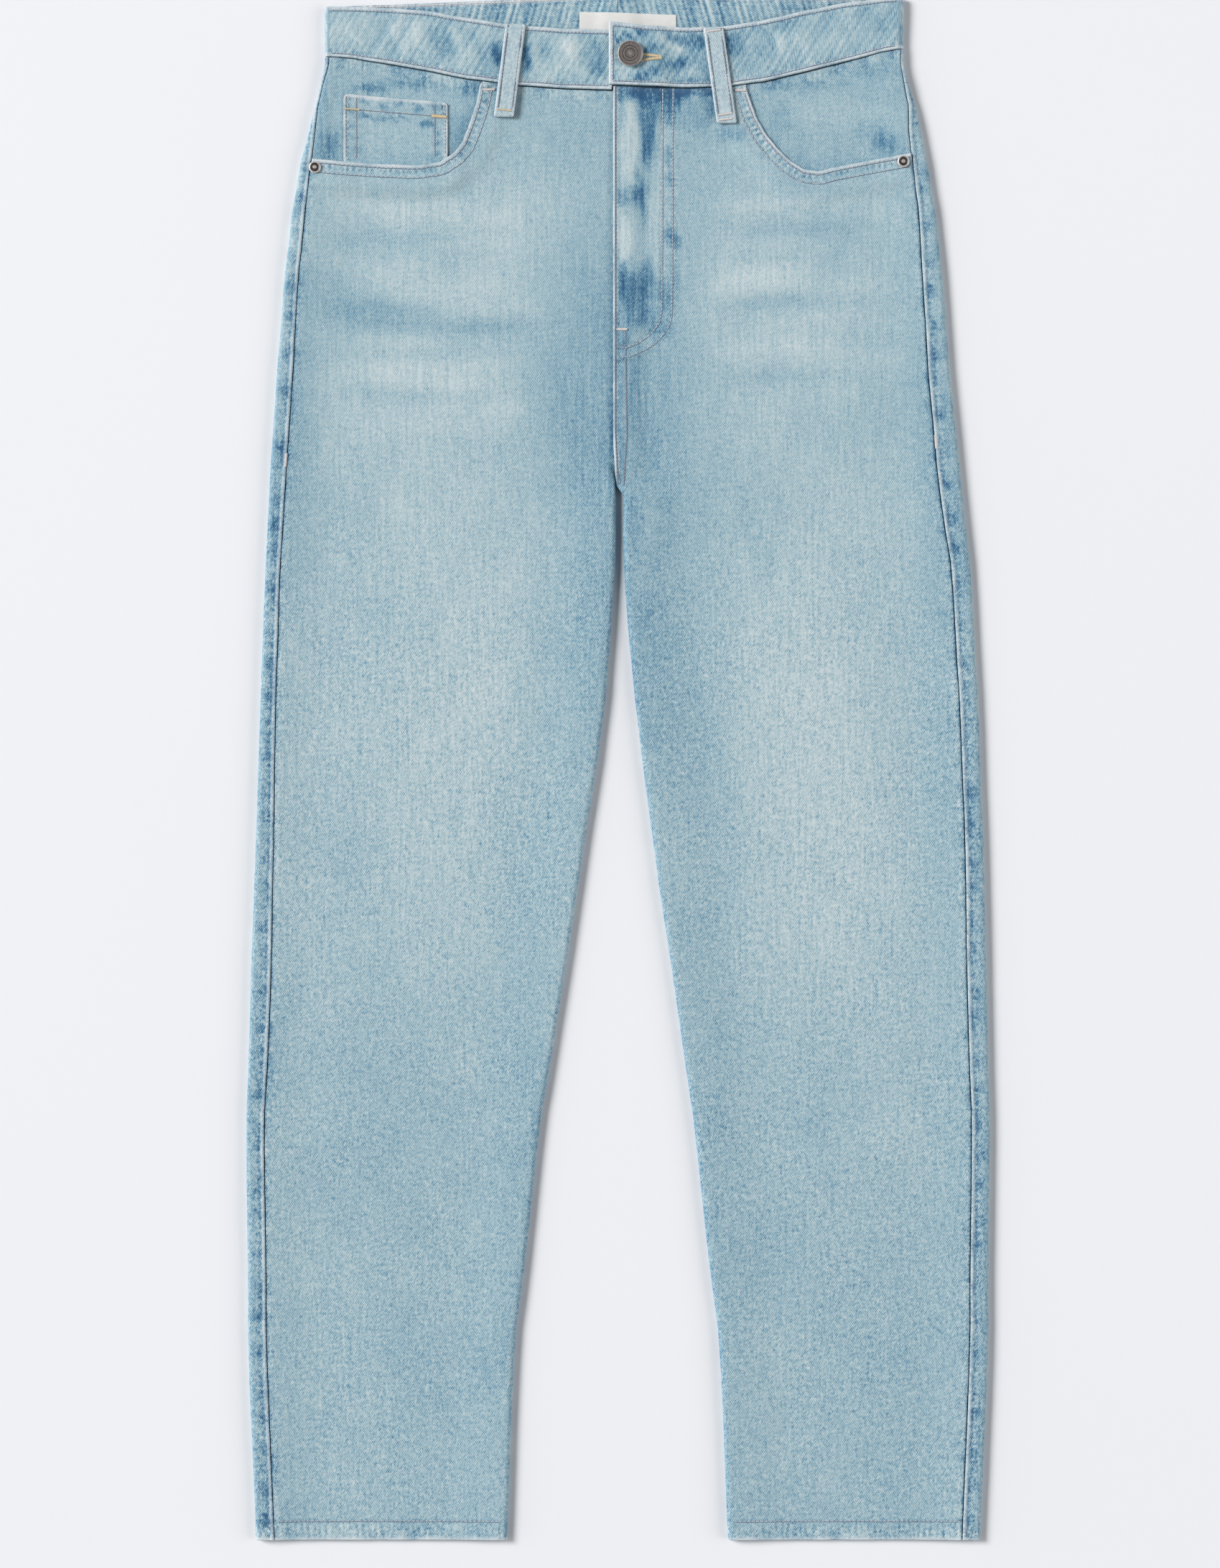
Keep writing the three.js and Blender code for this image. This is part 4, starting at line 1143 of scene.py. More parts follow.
def band_marks(side, out, down, top, seam):
    x = side.sign * out
    lean = BAND_LEAN if side is LEFT else 0.0
    marks = Marks(down * math.cos(lean) + x * math.sin(lean), x * math.cos(lean) - down * math.sin(lean))
    add_cloth(marks, x, down)
    add_creases(marks, x, down, BAND_CREASES)
    add_patches(marks, x, down, BAND_PATCHES)
    wave = WAVE.rough((x + 0.55 * down) / 7.5, (down - 0.4 * x) / 30)
    marks.add(height=0.30 * wave, wash=0.36 * wave + (0.10 if side is RIGHT else 0))
    marks.set_ticks((x + 0.6 * down) / 5.2, (down - 0.5 * x) / 26, 0.55)
    add_seam(marks, "rim", down - top, x, 41 + side.sign)
    add_seam(marks, "foot", seam - down, x, 45 + side.sign)
    if side is LEFT:
        end = out - BAND_LAP["start"]
        add_seam(marks, "rim", end, down, 49)
        marks.add(rub=0.8 * soft_ramp(end, 1.6, 3.0))
    marks["height"] = np.clip(marks["height"], -0.5, 0.9)
    return marks


def band_surface(side, out, down):
    top, seam = side.band_top(out), side.waist_seam(out)
    return band_top_z(side, out) + band_marks(side, out, down, top, seam)["height"]


def waistband(side):
    start = BAND_LAP["start"] if side is LEFT else BAND_LAP["under"]
    front = start + graded(side.band_fold - start, BAND_FINENESS, end=False)
    if side is RIGHT:
        step = BAND_LAP["under_from"]
        front = front[np.abs(front - step - 1) > 1.2]
        front = np.sort(np.append(front, [step, step + 0.6, -BAND_LAP["start"]]))
    turns = np.linspace(1, -1, 9)[1:-1]
    back = side.band_fold - graded(side.band_fold - SEAM_GAP / 2, BAND_FINENESS, start=False)
    back = back[1:] if back[0] == side.band_fold else back
    quarter = BAND_FOLD_RADIUS * math.pi / 2
    along_back = np.append(0, side.band_fold - back) + 2 * quarter
    outs = np.concatenate([front, np.full(turns.size, side.band_fold), [side.band_fold], back])
    is_front = np.arange(outs.size) < front.size + turns.size
    is_back = ~is_front
    under = (side is RIGHT) & is_front & (outs <= BAND_LAP["under_from"])
    top = np.where(is_back, back_band_top(side, outs), side.band_top(outs))
    seam = np.where(is_back, back_seam(side, outs) - SEAM_GAP / 2,
                    np.where(under, BAND_LAP["under_seam"], side.waist_seam(outs)))
    run = np.concatenate([side.band_fold - front, quarter * (1 - turns) - 2 * quarter, -along_back])
    steps = (graded(40, 1.3) / 40)[:, None]
    down = mix(top, seam, steps)
    out = np.broadcast_to(outs, down.shape)
    spread = np.broadcast_to(side.band_fold - run, down.shape)
    marks = band_marks(side, spread, down, top, seam)
    marks["height"] = np.where(is_back, np.minimum(0.4 * marks["height"], 0), marks["height"])
    marks["height"] = np.where(under, np.minimum(marks["height"], 0), marks["height"])
    front_edge = np.where(is_front, outs - start, NO_EDGE)
    back_edge = np.where(is_back, outs - SEAM_GAP / 2, NO_EDGE)
    drop = edge_drop(nearest(down - top, seam - down, front_edge, back_edge), THICK_EDGE)
    inside = Marks(spread * side.sign, down)
    inside.add(wash=-0.15 + 0.45 * TICK.rough(spread / 6.5, down / 40), grain=0.5)
    add_seam(inside, "rim", down - top, spread, 53)
    inside.set_ticks((spread + 0.3 * down) / 4.6, down / 50, 1.15)

    def face(depth):
        z = band_top_z(side, out) - depth
        flat = place(side, out, down, z)
        for k, turn in enumerate(turns):
            j = front.size + k
            flat[:, j] = section_point(side, down[:, j], turn * quarter, depth[:, j],
                                       BAND_FOLD_RADIUS, side.band_outer)
        back_z = back_lift(out, down) + depth
        return np.where(is_back[None, :, None], place(side, out, down, back_z), flat)

    depth = drop - marks["height"]
    outer, inner = face(depth), face(np.full(down.shape, BAND_CLOTH))
    return shell("waistband_" + side.name, outer, inner, DENIM, marks, inside)


# Pocket facings: the cloth that shows inside each curved opening

FACING_PATCHES = table("""
    x     down  wide  long  amount
    -164  62    12    2.6   -0.85
    -139  58.5  13    2.6   -0.60
    -118  60    20    4     -0.25
    -97   62    6     5     -0.70
    -108  56    10    2.5   0.25
    -194  100   6     8     -0.70
    -187  98    3     9     -0.35
    -196  72    4     16    -0.25
    -106  88    5     9     -0.30
    -103  66    3     5     -0.30
    120   60    26    3     -0.35
    165   50    24    4     -0.30
    178   98    8     6     -0.60
    168   92    10    8     -0.25
    150   80    30    8     0.15
    108   84    6     9     -0.25
""")


def facing_marks(side, out, down):
    x = side.sign * out
    marks = add_cloth(Marks(down, x), x, down)
    add_seam(marks, "waist", down - side.waist_seam(out) - WAIST_GAP, x, 61 + side.sign)
    distance = side.scoop_line.near(x, down, 14)[0]
    add_patches(marks, x, down, FACING_PATCHES)
    # Painted shade along the pocket opening's edge, which overhangs the facing
    marks.add(wash=-0.22 * bell(distance, 0, 4))
    below = down - side.waist_seam(out) - WAIST_GAP
    marks["height"] = np.clip(marks["height"], -0.3, 0.05 + 0.6 * ramp(below, 2, 6))
    return marks


def facing(side):
    first = COIN["outer_out"] + 3
    innermost = side.scoop_end - FACING_LAP + 3
    rim = np.linspace(0, 1, 10)[:-1]
    fixed = first - graded(first - innermost, 2.4, start=False)
    is_rim = np.arange(rim.size + fixed.size) < rim.size
    outs = np.concatenate([np.full(rim.size, first), fixed])
    upper = np.where(is_rim, side.seam_at_fold, side.waist_seam(outs)) + WAIST_GAP
    lower = side.scoop(np.minimum(outs + FACING_LAP - 2, side.scoop_side)) + FACING_LAP
    lower = np.where(is_rim, side.scoop(side.scoop_side) + FACING_LAP, lower)
    lower = np.maximum(lower, np.where(is_rim, 0, side.waist_seam(outs) + FACING_LAP))
    steps = (graded(60, 2.2) / 60)[:, None]
    down = mix(upper, lower, steps)
    seam = side.seam_along(down) + SIDE_GAP
    shares = np.concatenate([rim, np.ones(fixed.size)])[None, :]
    along = np.where(is_rim, mix(seam, side.along_of(down, first), shares), side.along_of(down, outs))
    out = side.outer(down) - FOLD_RADIUS + QUARTER - along
    marks = facing_marks(side, out, down)
    rim_edge = np.where(is_rim, seam - along + NO_EDGE, NO_EDGE)
    drop = edge_drop(nearest(down - upper, lower - down, rim_edge, np.abs(along - seam)), FACING_EDGE)
    inside = Marks(down, side.sign * out).add(wash=INSIDE_WASH)
    outer, inner = (section_point(side, down, along, depth, top=resting_top)
                    for depth in (drop - marks["height"], THIN_CLOTH + 0 * out))
    return shell("pocket_facing_" + side.name, outer, inner, DENIM, marks, inside)


# Coin pocket: lies on the right facing, and its lower end runs under the front panel

COIN_HEM = 9.8
COIN_CORNER = 3.4


def coin_upper(out):
    return mix(COIN["outer_top"], COIN["inner_top"],
               (COIN["outer_out"] - out) / (COIN["outer_out"] - COIN["inner_out"]))


COIN_PATCHES = table("""
    x       down  wide  long  amount
    -168    71    2.6   2.6   -1.00
    -156    72.4  3.0   2.2   -1.00
    -145    73.3  2.6   2.2   -0.90
    -131.5  75.6  2.2   3.0   -0.90
    -120    74    5     3     -0.40
    -152    82.5  12    1.4   -0.70
    -126    87    4     2     -1.00
    -176    78    4     2     -0.50
    -168    82    4     2     -0.60
    -150    71    26    3     0.25
    -175    88    2.5   1.4   -0.55
    -174    95    3     1.4   -0.55
    -173    102   3     1.4   -0.50
    -118    92    3     1.4   -0.50
    -119    99    3     1.4   -0.55
    -121    106   3     1.4   -0.50
""")


def coin_marks(out, down):
    x = -out
    marks = add_cloth(Marks(down, x), x, down)
    add_seam(marks, "pocket", down - coin_upper(out), x, 71)
    add_seam(marks, "pocket", COIN["outer_out"] - out, down, 73)
    add_seam(marks, "pocket", out - COIN["inner_out"], down, 75)
    add_seam(marks, "pocket", np.abs(down - coin_upper(out) - COIN_HEM) + 2.5, x, 77, 0.6)
    add_patches(marks, x, down, COIN_PATCHES)
    distance = RIGHT.scoop_line.near(x, down, 12)[0]
    # Painted shade where the coin pocket runs under the front panel's edge, with the pocket a little paler
    # all over
    marks.add(wash=-0.22 * bell(distance, 0, 5) + 0.05)
    marks["height"] = np.clip(marks["height"], -0.3, 0.35) * np.clip((distance - 1) / 4, 0, 1)
    return marks


def coin_top(out, down):
    return resting_top(RIGHT, out, down) + CLEAR + THIN_CLOTH


def corner_drop(edge, radius):
    """How far a rounded corner of this radius takes the end in, this far from the side."""
    rest = np.clip(radius - edge, 0, radius)
    return radius - np.sqrt(radius ** 2 - rest ** 2)


def coin_pocket():
    width = COIN["outer_out"] - COIN["inner_out"]
    out = COIN["outer_out"] - graded(width, 1.6)[None, :]
    beside = np.minimum(COIN["outer_out"] - out, out - COIN["inner_out"])
    upper = coin_upper(out) + corner_drop(beside, COIN_CORNER)
    lower = RIGHT.scoop(out) + FACING_LAP - 2
    down = mix(upper, lower, (graded(50, 1.6) / 50)[:, None])
    out = np.broadcast_to(out, down.shape)
    marks = coin_marks(out, down)
    edge = nearest(down - upper, lower - down, COIN["outer_out"] - out, out - COIN["inner_out"])
    top = coin_top(out, down)
    inside = Marks(down, out).add(wash=INSIDE_WASH)
    return shell("coin_pocket", place(RIGHT, out, down, top - edge_drop(edge, THIN_EDGE) + marks["height"]),
                 place(RIGHT, out, down, top - THIN_CLOTH), DENIM, marks, inside)


# Belt loops

def loop_marks(across, down, seed):
    marks = Marks(down, across + 40 * seed)
    half = LOOP_WIDTH / 2
    edge = half - np.abs(across)
    wave = TICK(down / 5 + seed * 7, across / 9)
    marks.add(wash=0.20 + 0.26 * wave * (edge < 3.2) + 0.12 * BROAD.rough(down / 19, across / 12 + seed),
              rub=0.34 + 0.5 * bell(edge, 0.5, 0.6), grain=0.7 + 0.4 * bell(edge, 0, 2.5),
              height=0.18 * bell(edge, 1.4, 1.3) + 0.10 * wave * (edge < 3) - 0.10 * bell(edge, 2.4, 0.5))
    return marks


def loop_base(row, x, down):
    """The height of what a front loop lies on."""
    side = RIGHT if row["x0"] < 0 else LEFT
    seam = float(side.waist_seam(abs(row["x0"] + row["x1"]) / 2))
    band = band_top_z(side, np.abs(x)) + CLEAR
    heights = [front_top(side, np.abs(x) + w * LOOP_WIDTH / 2, down) for w in (-1, 0, 1)]
    panel = functools.reduce(np.maximum, heights) + CLEAR
    fall = soft_ramp(down, seam + LOOP_STEP["start"], seam + LOOP_STEP["end"])
    return mix(panel, band, fall)


def front_loop(row, seed):
    length = row["down1"] - row["down0"]
    share = graded(length, 1.5)[:, None] / length
    across = (graded(LOOP_WIDTH, 1.0)[None, :] - LOOP_WIDTH / 2) * np.ones_like(share)
    corner = corner_drop(LOOP_WIDTH / 2 - np.abs(across), LOOP_CORNER)
    down = mix(row["down0"] + corner, row["down1"] - corner, share)
    middle = mix(row["x0"], row["x1"], share)
    marks = loop_marks(across, down, seed)
    edge = nearest(LOOP_WIDTH / 2 - np.abs(across), down - row["down0"], row["down1"] - down)
    base = loop_base(row, middle, down)
    arch = 0.25 * np.clip(share * (1 - share) * 4, 0, 1)
    top = base + LOOP_CLOTH + arch + marks["height"] - edge_drop(edge, THICK_EDGE)
    # The folded ends, thicker where they are tacked down
    top = top + 0.35 * (bell(down, row["down0"] + 4, 2.5) + bell(down, row["down1"] - 4, 2.5))
    inside = Marks(down, across).add(wash=LOOP_INSIDE_WASH)
    x = middle + across
    return shell(row["name"], spots(x, down, top), spots(x, down, base), DENIM, marks, inside)


def patch(name, x, down, marks, edge):
    """A flat piece under the back: its face is the lower side."""
    lower = PATCH_BOTTOM + edge_drop(edge, THIN_EDGE) - np.minimum(marks["height"], 0)
    inside = Marks(down, x).add(wash=LOOP_INSIDE_WASH)
    return shell(name, spots(x, down, lower), spots(x, down, PATCH_THICK), DENIM, marks, inside)


def back_loop(name, x, seed):
    half = BACK_LOOP["width"] / 2
    top = float(back_band_top(RIGHT if x < 0 else LEFT, abs(x) - half)) + 1
    across = np.linspace(-half, half, 15)[None, :]
    down = top + graded(BACK_LOOP["bottom"] - top, 1.8)[:, None]
    across, down = np.broadcast_arrays(across, down)
    marks = loop_marks(across, down, seed)
    edge = nearest(half - np.abs(across), down - top, BACK_LOOP["bottom"] - down)
    return patch(name, x + across, down, marks, edge)


def back_pocket_place(side, across, share):
    """A point on the back pocket, from its side (-1 to 1) and its share of the way down."""
    foot = BACK_POCKET["length"] - BACK_POCKET["point"] * np.abs(across)
    half = BACK_POCKET["width"] / 2 - BACK_POCKET["narrow"] * share
    return side.sign * (BACK_POCKET["out"] + across * half), BACK_POCKET["down"] + foot * share


def back_pocket(side):
    half = BACK_POCKET["width"] / 2
    across = (graded(2 * half, 2.4)[None, :] - half) / half
    share = (graded(BACK_POCKET["length"], 2.4) / BACK_POCKET["length"])[:, None]
    x, down = back_pocket_place(side, across, share)
    x = np.broadcast_to(x, down.shape)
    beside = (1 - np.abs(across)) * half + 0 * down
    above = share * BACK_POCKET["length"] + 0 * x
    below = (1 - share) * BACK_POCKET["length"] + 0 * x
    marks = add_cloth(Marks(down, x), x, down)
    add_seam(marks, "pocket", beside, down, 81 + side.sign)
    add_seam(marks, "pocket", below, x, 85 + side.sign)
    add_seam(marks, "hem", above, x, 89 + side.sign, 0.8)
    marks.add(wash=0.25 * bell(beside, half, 40))
    return patch("back_pocket_" + side.name, x, down, marks, nearest(beside, above, below))


# Blank label inside the back of the waistband

def label():
    width = LABEL["x1"] - LABEL["x0"]
    across = graded(width, 2.0)[None, :]
    along = graded(LABEL["height"], 1.6)[:, None]
    x = LABEL["x0"] + across + 0 * along
    down = LABEL["down"] + LABEL["slope"] * across / width + along
    wave = 0.10 * WAVE(x / 13, down / 21) + 0.12 * bell(along, 2.0, 1.2)
    base = back_lift(np.abs(x), down) + BAND_CLOTH + SEAM_GAP
    edge = nearest(across, width - across, along, LABEL["height"] - along)
    top = base + LABEL["thick"] + np.clip(wave, 0, 0.3) - edge_drop(edge, 0.2)
    marks, under = Marks(down, x), Marks(down, x)
    marks.add(rub=bell(edge, 0.8, 0.5))
    return shell("label", spots(x, down, top), spots(x, down, base), LABEL_CLOTH, marks, under)


# Metal pieces, turned about their own axis

def turned(name, profile, x, down, z, segments, ripple=None):
    """A ring of points for each row of the profile: its radius, height and how bright it is worn."""
    rows = np.array(profile)
    turn = np.linspace(0, 2 * math.pi, segments, endpoint=False)[None, :]
    radius = rows[:, :1] + 0 * turn
    height = rows[:, 1:2] + (0 * radius if ripple is None else ripple(radius, turn))
    points = spots(x + radius * np.cos(turn), down - radius * np.sin(turn), z + height)
    count = rows.shape[0]
    ids = np.arange(count * segments).reshape(count, segments)
    step = np.roll(ids, -1, axis=1)
    faces = np.stack([ids[:-1], step[:-1], step[1:], ids[1:]], axis=-1).reshape(-1, 4).tolist()
    faces.append(ids[-1].tolist())
    faces.append(ids[0, ::-1].tolist())
    bright = np.repeat(rows[:, 2], segments)
    return mesh_object(name, points.reshape(-1, 3), faces, METAL, {"rub": bright}, smooth_angle=40)


def scaled(profile, radius, height):
    return [(row["radius"] * radius, row["height"] * height, row["bright"]) for row in profile]


BUTTON_PROFILE = table("""
    radius  height  bright
    0.49    0       0.1
    0.50    0.30    0.1
    0.90    0.42    0.2
    0.97    0.52    0.4
    1.00    0.70    0.7
    0.985   0.88    0.8
    0.95    0.98    0.6
    0.90    1.00    0.40
    0.86    0.96    0.25
    0.83    0.94    0.30
    0.76    0.94    0.38
    0.69    0.94    0.38
    0.62    0.94    0.35
    0.60    0.87    0.0
    0.575   0.87    0.0
    0.555   0.95    0.45
    0.50    0.96    0.40
    0.40    0.95    0.35
    0.38    0.89    0.05
    0.355   0.89    0.05
    0.335   0.95    0.40
    0.22    0.94    0.35
    0.12    0.96    0.55
    0.03    0.97    0.55
""")
RIVET_PROFILE = table("""
    radius  height  bright
    0.98    0       0.6
    1.00    0.20    0.9
    0.99    0.42    1.0
    0.94    0.66    1.0
    0.84    0.78    0.95
    0.76    0.74    0.8
    0.70    0.50    0.1
    0.60    0.34    0.0
    0.46    0.34    0.0
    0.36    0.44    0.1
    0.31    0.80    0.5
    0.24    0.98    0.9
    0.12    1.00    0.8
    0.04    0.97    0.6
""")


def button():
    radius = BUTTON["radius"]

    def beads(radius_at, turn):
        """A ring of small raised dashes."""
        return 0.22 * bell(radius_at, radius * 0.73, radius * 0.035) * (np.cos(turn * 22) > 0.1)

    z = float(band_top_z(LEFT, BUTTON["x"])) + CLEAR
    profile = scaled(BUTTON_PROFILE, radius, BUTTON["height"])
    return turned("button", profile, BUTTON["x"], BUTTON["down"], z, 132, beads)


def rivet(row):
    side = RIGHT if row["x"] < 0 else LEFT
    radius = RIVET["radius"]
    out = abs(row["x"])
    heights = [front_top(side, np.array(out + a * radius), np.array(row["down"] + b * radius))
               for a in (-1, 0, 1) for b in (-1, 0, 1)]
    profile = scaled(RIVET_PROFILE, radius, RIVET["height"])
    return turned(row["name"], profile, row["x"], row["down"], float(max(heights)) + SEAM_GAP, 48)


# Thread

# The dark patch under each stitch: partly the dent in the cloth, partly painted shadow, shifted to the side
# away from the key light
DENT_SHADOW = dict(along=np.array([0, 0.12, 0.88, 1, 0.88, 0.12]), aside=np.array([0, 1, 1, 0, -1, -1]))
DENT_SHADOW_SHIFT = np.array([0.14, 0.18])
DENT_SHADOW_LIFT = 0.07
DENT_SHADOW_EXTRA = 0.7
RING = 5
FLAT_RING = np.array([0, 0, 0.9])
STITCH_SHARES = np.array([0, 0.5, 1])
STITCH_SWELL = np.array([0.55, 1, 0.55])
SUNK = 0.35
TACK_LIFT = SUNK + 0.25 * (STITCH_SHARES == 0.5)

sewn = {}


class Sewing:
    """The thread on one node's piece, gathered stitch by stitch and made into one mesh."""

    def __init__(self, name, node, colour):
        self.name = name
        self.node = node
        self.colour = colour
        self.stations, self.widths, self.dents = [], [], []

    def add(self, points, radius):
        """Stitches, each given by three points (x, down, z) from end to end."""
        self.stations.append(points)
        self.widths.append(np.full(points.shape[0], radius))

    def row(self, line, height, start=0.0, end=None, aside=0.0, pitch=2.9, gap=0.6, radius=0.36, dent=0.55):
        """Stitches along the line, each over a dark patch: the dent that it pulls into the cloth and its
        painted shadow, shifted away from the key light.
        """
        end = line.length if end is None else end
        begin = start + np.arange(max(int((end - start) / pitch), 1)) * pitch
        along = begin[:, None] + STITCH_SHARES * (pitch - gap)
        spot = line.at(along, aside + 0 * along)
        z = height(spot[..., 0], spot[..., 1]) + SUNK * radius
        self.add(np.concatenate([spot, z[..., None]], axis=-1), radius)
        if dent:
            places = begin[:, None] + DENT_SHADOW["along"] * (pitch - gap + DENT_SHADOW_EXTRA) - DENT_SHADOW_EXTRA / 2
            spot = line.at(places, aside + DENT_SHADOW["aside"] * dent) + DENT_SHADOW_SHIFT
            z = height(spot[..., 0], spot[..., 1]) + DENT_SHADOW_LIFT
            self.dents.append(np.concatenate([spot, z[..., None]], axis=-1))

    def bar(self, line, height, width, pitch=0.55, radius=0.32):
        """A bar tack along the line: stitches side by side, each across it."""
        along = np.arange(0, line.length, pitch)[:, None]
        spot = line.at(along + 0 * STITCH_SHARES, width * (STITCH_SHARES - 0.5) + 0 * along)
        z = height(spot[..., 0], spot[..., 1]) + TACK_LIFT
        self.add(np.concatenate([spot, z[..., None]], axis=-1), radius)

    def make(self):
        points = np.concatenate(self.stations)
        radius = np.concatenate(self.widths)
        points[..., 1] = LENGTH / 2 - points[..., 1]
        way = points[:, -1] - points[:, 0]
        aside = np.stack([way[:, 1], -way[:, 0], 0 * way[:, 0]], axis=1)
        aside /= np.maximum(np.linalg.norm(aside, axis=1, keepdims=True), 1e-6)
        turn = np.arange(RING) * 2 * math.pi / RING + math.pi / 2
        size = radius[:, None] * STITCH_SWELL
        ring = (points[:, :, None, :]
                + size[..., None, None] * np.cos(turn)[:, None] * aside[:, None, None, :]
                + size[..., None, None] * np.sin(turn)[:, None] * FLAT_RING)
        count = points.shape[0]
        ids = np.arange(count * 3 * RING).reshape(count, 3, RING)
        step = np.roll(ids, -1, axis=2)
        sides = np.stack([ids[:, :-1], step[:, :-1], step[:, 1:], ids[:, 1:]], axis=-1).reshape(-1, 4)
        faces = sides.tolist() + ids[:, 0, ::-1].tolist() + ids[:, 2].tolist()
        self.finish(self.name, ring.reshape(-1, 3), faces, self.colour)
        # The dark patches under the stitches: dents with painted shadow
        if self.dents:
            points = np.concatenate(self.dents)
            points[..., 1] = LENGTH / 2 - points[..., 1]
            faces = np.arange(points.shape[0] * points.shape[1]).reshape(points.shape[:2]).tolist()
            self.finish(self.name + "_dents", points.reshape(-1, 3), faces, DENT_SHADOW_CLOTH)

    def finish(self, name, points, faces, material):
        piece = mesh_object(name, points, faces, material, smooth_angle=80)
        sewn.setdefault(self.node, []).append(piece)


# Materials

class Tree:
    """The nodes of a material or of the surroundings, added one after another."""

    def __init__(self, holder):
        holder.use_nodes = True
        self.holder = holder
        self.tree = holder.node_tree
        self.tree.nodes.clear()

    def add(self, kind, inputs=None, **settings):
        node = self.tree.nodes.new(kind)
        for key, value in settings.items():
            setattr(node, key, value)
        for key, value in (inputs or {}).items():
            if isinstance(value, bpy.types.NodeSocket):
                self.tree.links.new(value, node.inputs[key])
            else:
                node.inputs[key].default_value = value
        return node

    def math(self, operation, *values):
        return self.add("ShaderNodeMath", dict(enumerate(values)), operation=operation).outputs[0]

    def vector(self, operation, a, b, output=0):
        return self.add("ShaderNodeVectorMath", {0: a, 1: b}, operation=operation).outputs[output]

    def joined(self, x, y):
        return self.add("ShaderNodeCombineXYZ", {0: x, 1: y}).outputs[0]

    def attribute(self, name, output="Fac"):
        return self.add("ShaderNodeAttribute", attribute_name=name).outputs[output]

    def place(self, output="Object"):
        return self.add("ShaderNodeTexCoord").outputs[output]

    def noise(self, where, sizes, detail=1.0, rough=0.5):
        """Noise from -1.6 to 1.6, mostly within 1, with bumps of these sizes."""
        scaled = self.vector("MULTIPLY", where, [1 / size for size in sizes])
        value = self.add("ShaderNodeTexNoise", {"Vector": scaled, "Scale": 1.0, "Detail": detail,
                                               "Roughness": rough}).outputs["Fac"]
        return self.math("MULTIPLY_ADD", value, 3.2, -1.6)

    def total(self, *parts):
        """The sum of values, each times its weight."""
        result = 0.0
        for value, weight in parts:
            result = self.math("MULTIPLY_ADD", value, weight, result)
        return result

    def colours(self, value, stops):
        """A colour for each value, from stops (value, red, green, blue) in sRGB from 0 to 255."""
        node = self.add("ShaderNodeValToRGB", {"Fac": value})
        ramp_of = node.color_ramp
        while len(ramp_of.elements) < len(stops):
            ramp_of.elements.new(0.5)
        for element, (spot, *colour) in zip(ramp_of.elements, stops):
            element.position = spot
            element.color = linear(colour)
        return node.outputs["Color"]

    def blend(self, share, a, b):
        return self.add("ShaderNodeMix", {0: share, 6: a, 7: b}, data_type="RGBA").outputs[2]

    def finish(self, colour, roughness, bump=None, depth=0.0, strength=1.0, **others):
        inputs = {key.replace("_", " "): value for key, value in others.items()}
        inputs.update({"Base Color": colour, "Roughness": roughness})
        if bump is not None:
            relief = {"Height": bump, "Distance": depth, "Strength": strength}
            inputs["Normal"] = self.add("ShaderNodeBump", relief).outputs[0]
        surface = self.add("ShaderNodeBsdfPrincipled", inputs)
        self.add("ShaderNodeOutputMaterial", {0: surface.outputs[0]})
        return self.holder


def linear(colour):
    """A colour from sRGB, 0 to 255, as Blender wants it."""
    share = np.array(colour, float) / 255
    return (*np.where(share <= 0.04045, share / 12.92, ((share + 0.055) / 1.055) ** 2.4).tolist(), 1)


def even(size):
    return (size, size, size)


TWILL_PITCH = 1.08
TWILL_WAY = (0.84, 0.54, 0.0)
TWILL_ALONG = (0.54, -0.84, 0.0)
TWILL = dict(colour=0.30, relief=0.035)
RIB = dict(colour=0.50, relief=0.20)
WASH_AND_SHADE_SHARE = 0.62
BASE_VALUE = 0.05

# The yarn's and the wash's unevenness: the size of the bumps in mm, how much they count in the
# colour anywhere, and more where the fading and painted shade are strong or the cloth is mottled, and in the
# relief
DENIM_NOISE = table("""
    name    across  along  detail  rough  plain  by_wash  by_grain  relief
    dash    0.7     2.6    2.0     0.6    0.34   0.20     0.26      0.03
    slub    1.3     9.0    2.0     0.6    0.13   0        0         0.03
    streak  2.2     40.0   1.0     0.5    0.07   0.32     0         0
    pick    10.0    1.4    1.0     0.5    0.08   0        0         0
    speck   1.6     1.9    3.0     0.7    0.21   0        0.28      0.04
    mottle  3.2     4.2    3.0     0.6    0.09   0.20     0.28      0.03
    coarse  13.0    20.0   2.0     0.5    0.04   0        0         0
""")

# From the dark of an unwashed patch, also used for painted shade, to the palest wear, in sRGB
DENIM_COLOURS = table("""
    share  red  green  blue
    0      50   92     130
    0.10   66   111    145
    0.24   88   134    162
    0.36   118  157    178
    0.47   143  175    188
    0.53   154  183    195
    0.60   167  191    200
    0.69   181  200    205
    0.81   195  209    212
    1.0    208  217    219
""")
WORN_COLOUR = (211, 218, 222)
MOST_WORN = 0.9


def twill_lines(tree, cloth, across):
    """The slanting ribs of the weave, slightly bent and of uneven strength."""
    drift = tree.noise(cloth, (6.0, 11.0, 1.0))
    turns = tree.math("MULTIPLY_ADD", across, 2 * math.pi / TWILL_PITCH, tree.math("MULTIPLY", drift, 0.9))
    swell = tree.math("MULTIPLY_ADD", tree.noise(cloth, (2.2, 5.0, 1.0)), 0.7, 1.0)
    return tree.math("MULTIPLY", tree.math("SINE", turns), swell)


def fine_puckers(tree):
    """The small ribs beside a seam, from where each point says that they run."""
    along, aside, strength = tree.add("ShaderNodeSeparateXYZ", {0: tree.attribute("tick", "Vector")}).outputs
    ribs = tree.joined(along, aside)
    unevenly = tree.math("MULTIPLY", tree.noise(ribs, (2.5, 3.0, 1.0)), 1.6)
    rib = tree.math("SINE", tree.math("MULTIPLY_ADD", along, 2 * math.pi, unevenly))
    rough = tree.noise(ribs, (0.5, 0.8, 1.0), 1.5)
    return tree.math("MULTIPLY", tree.total((rib, 0.42), (rough, 0.65)), strength)


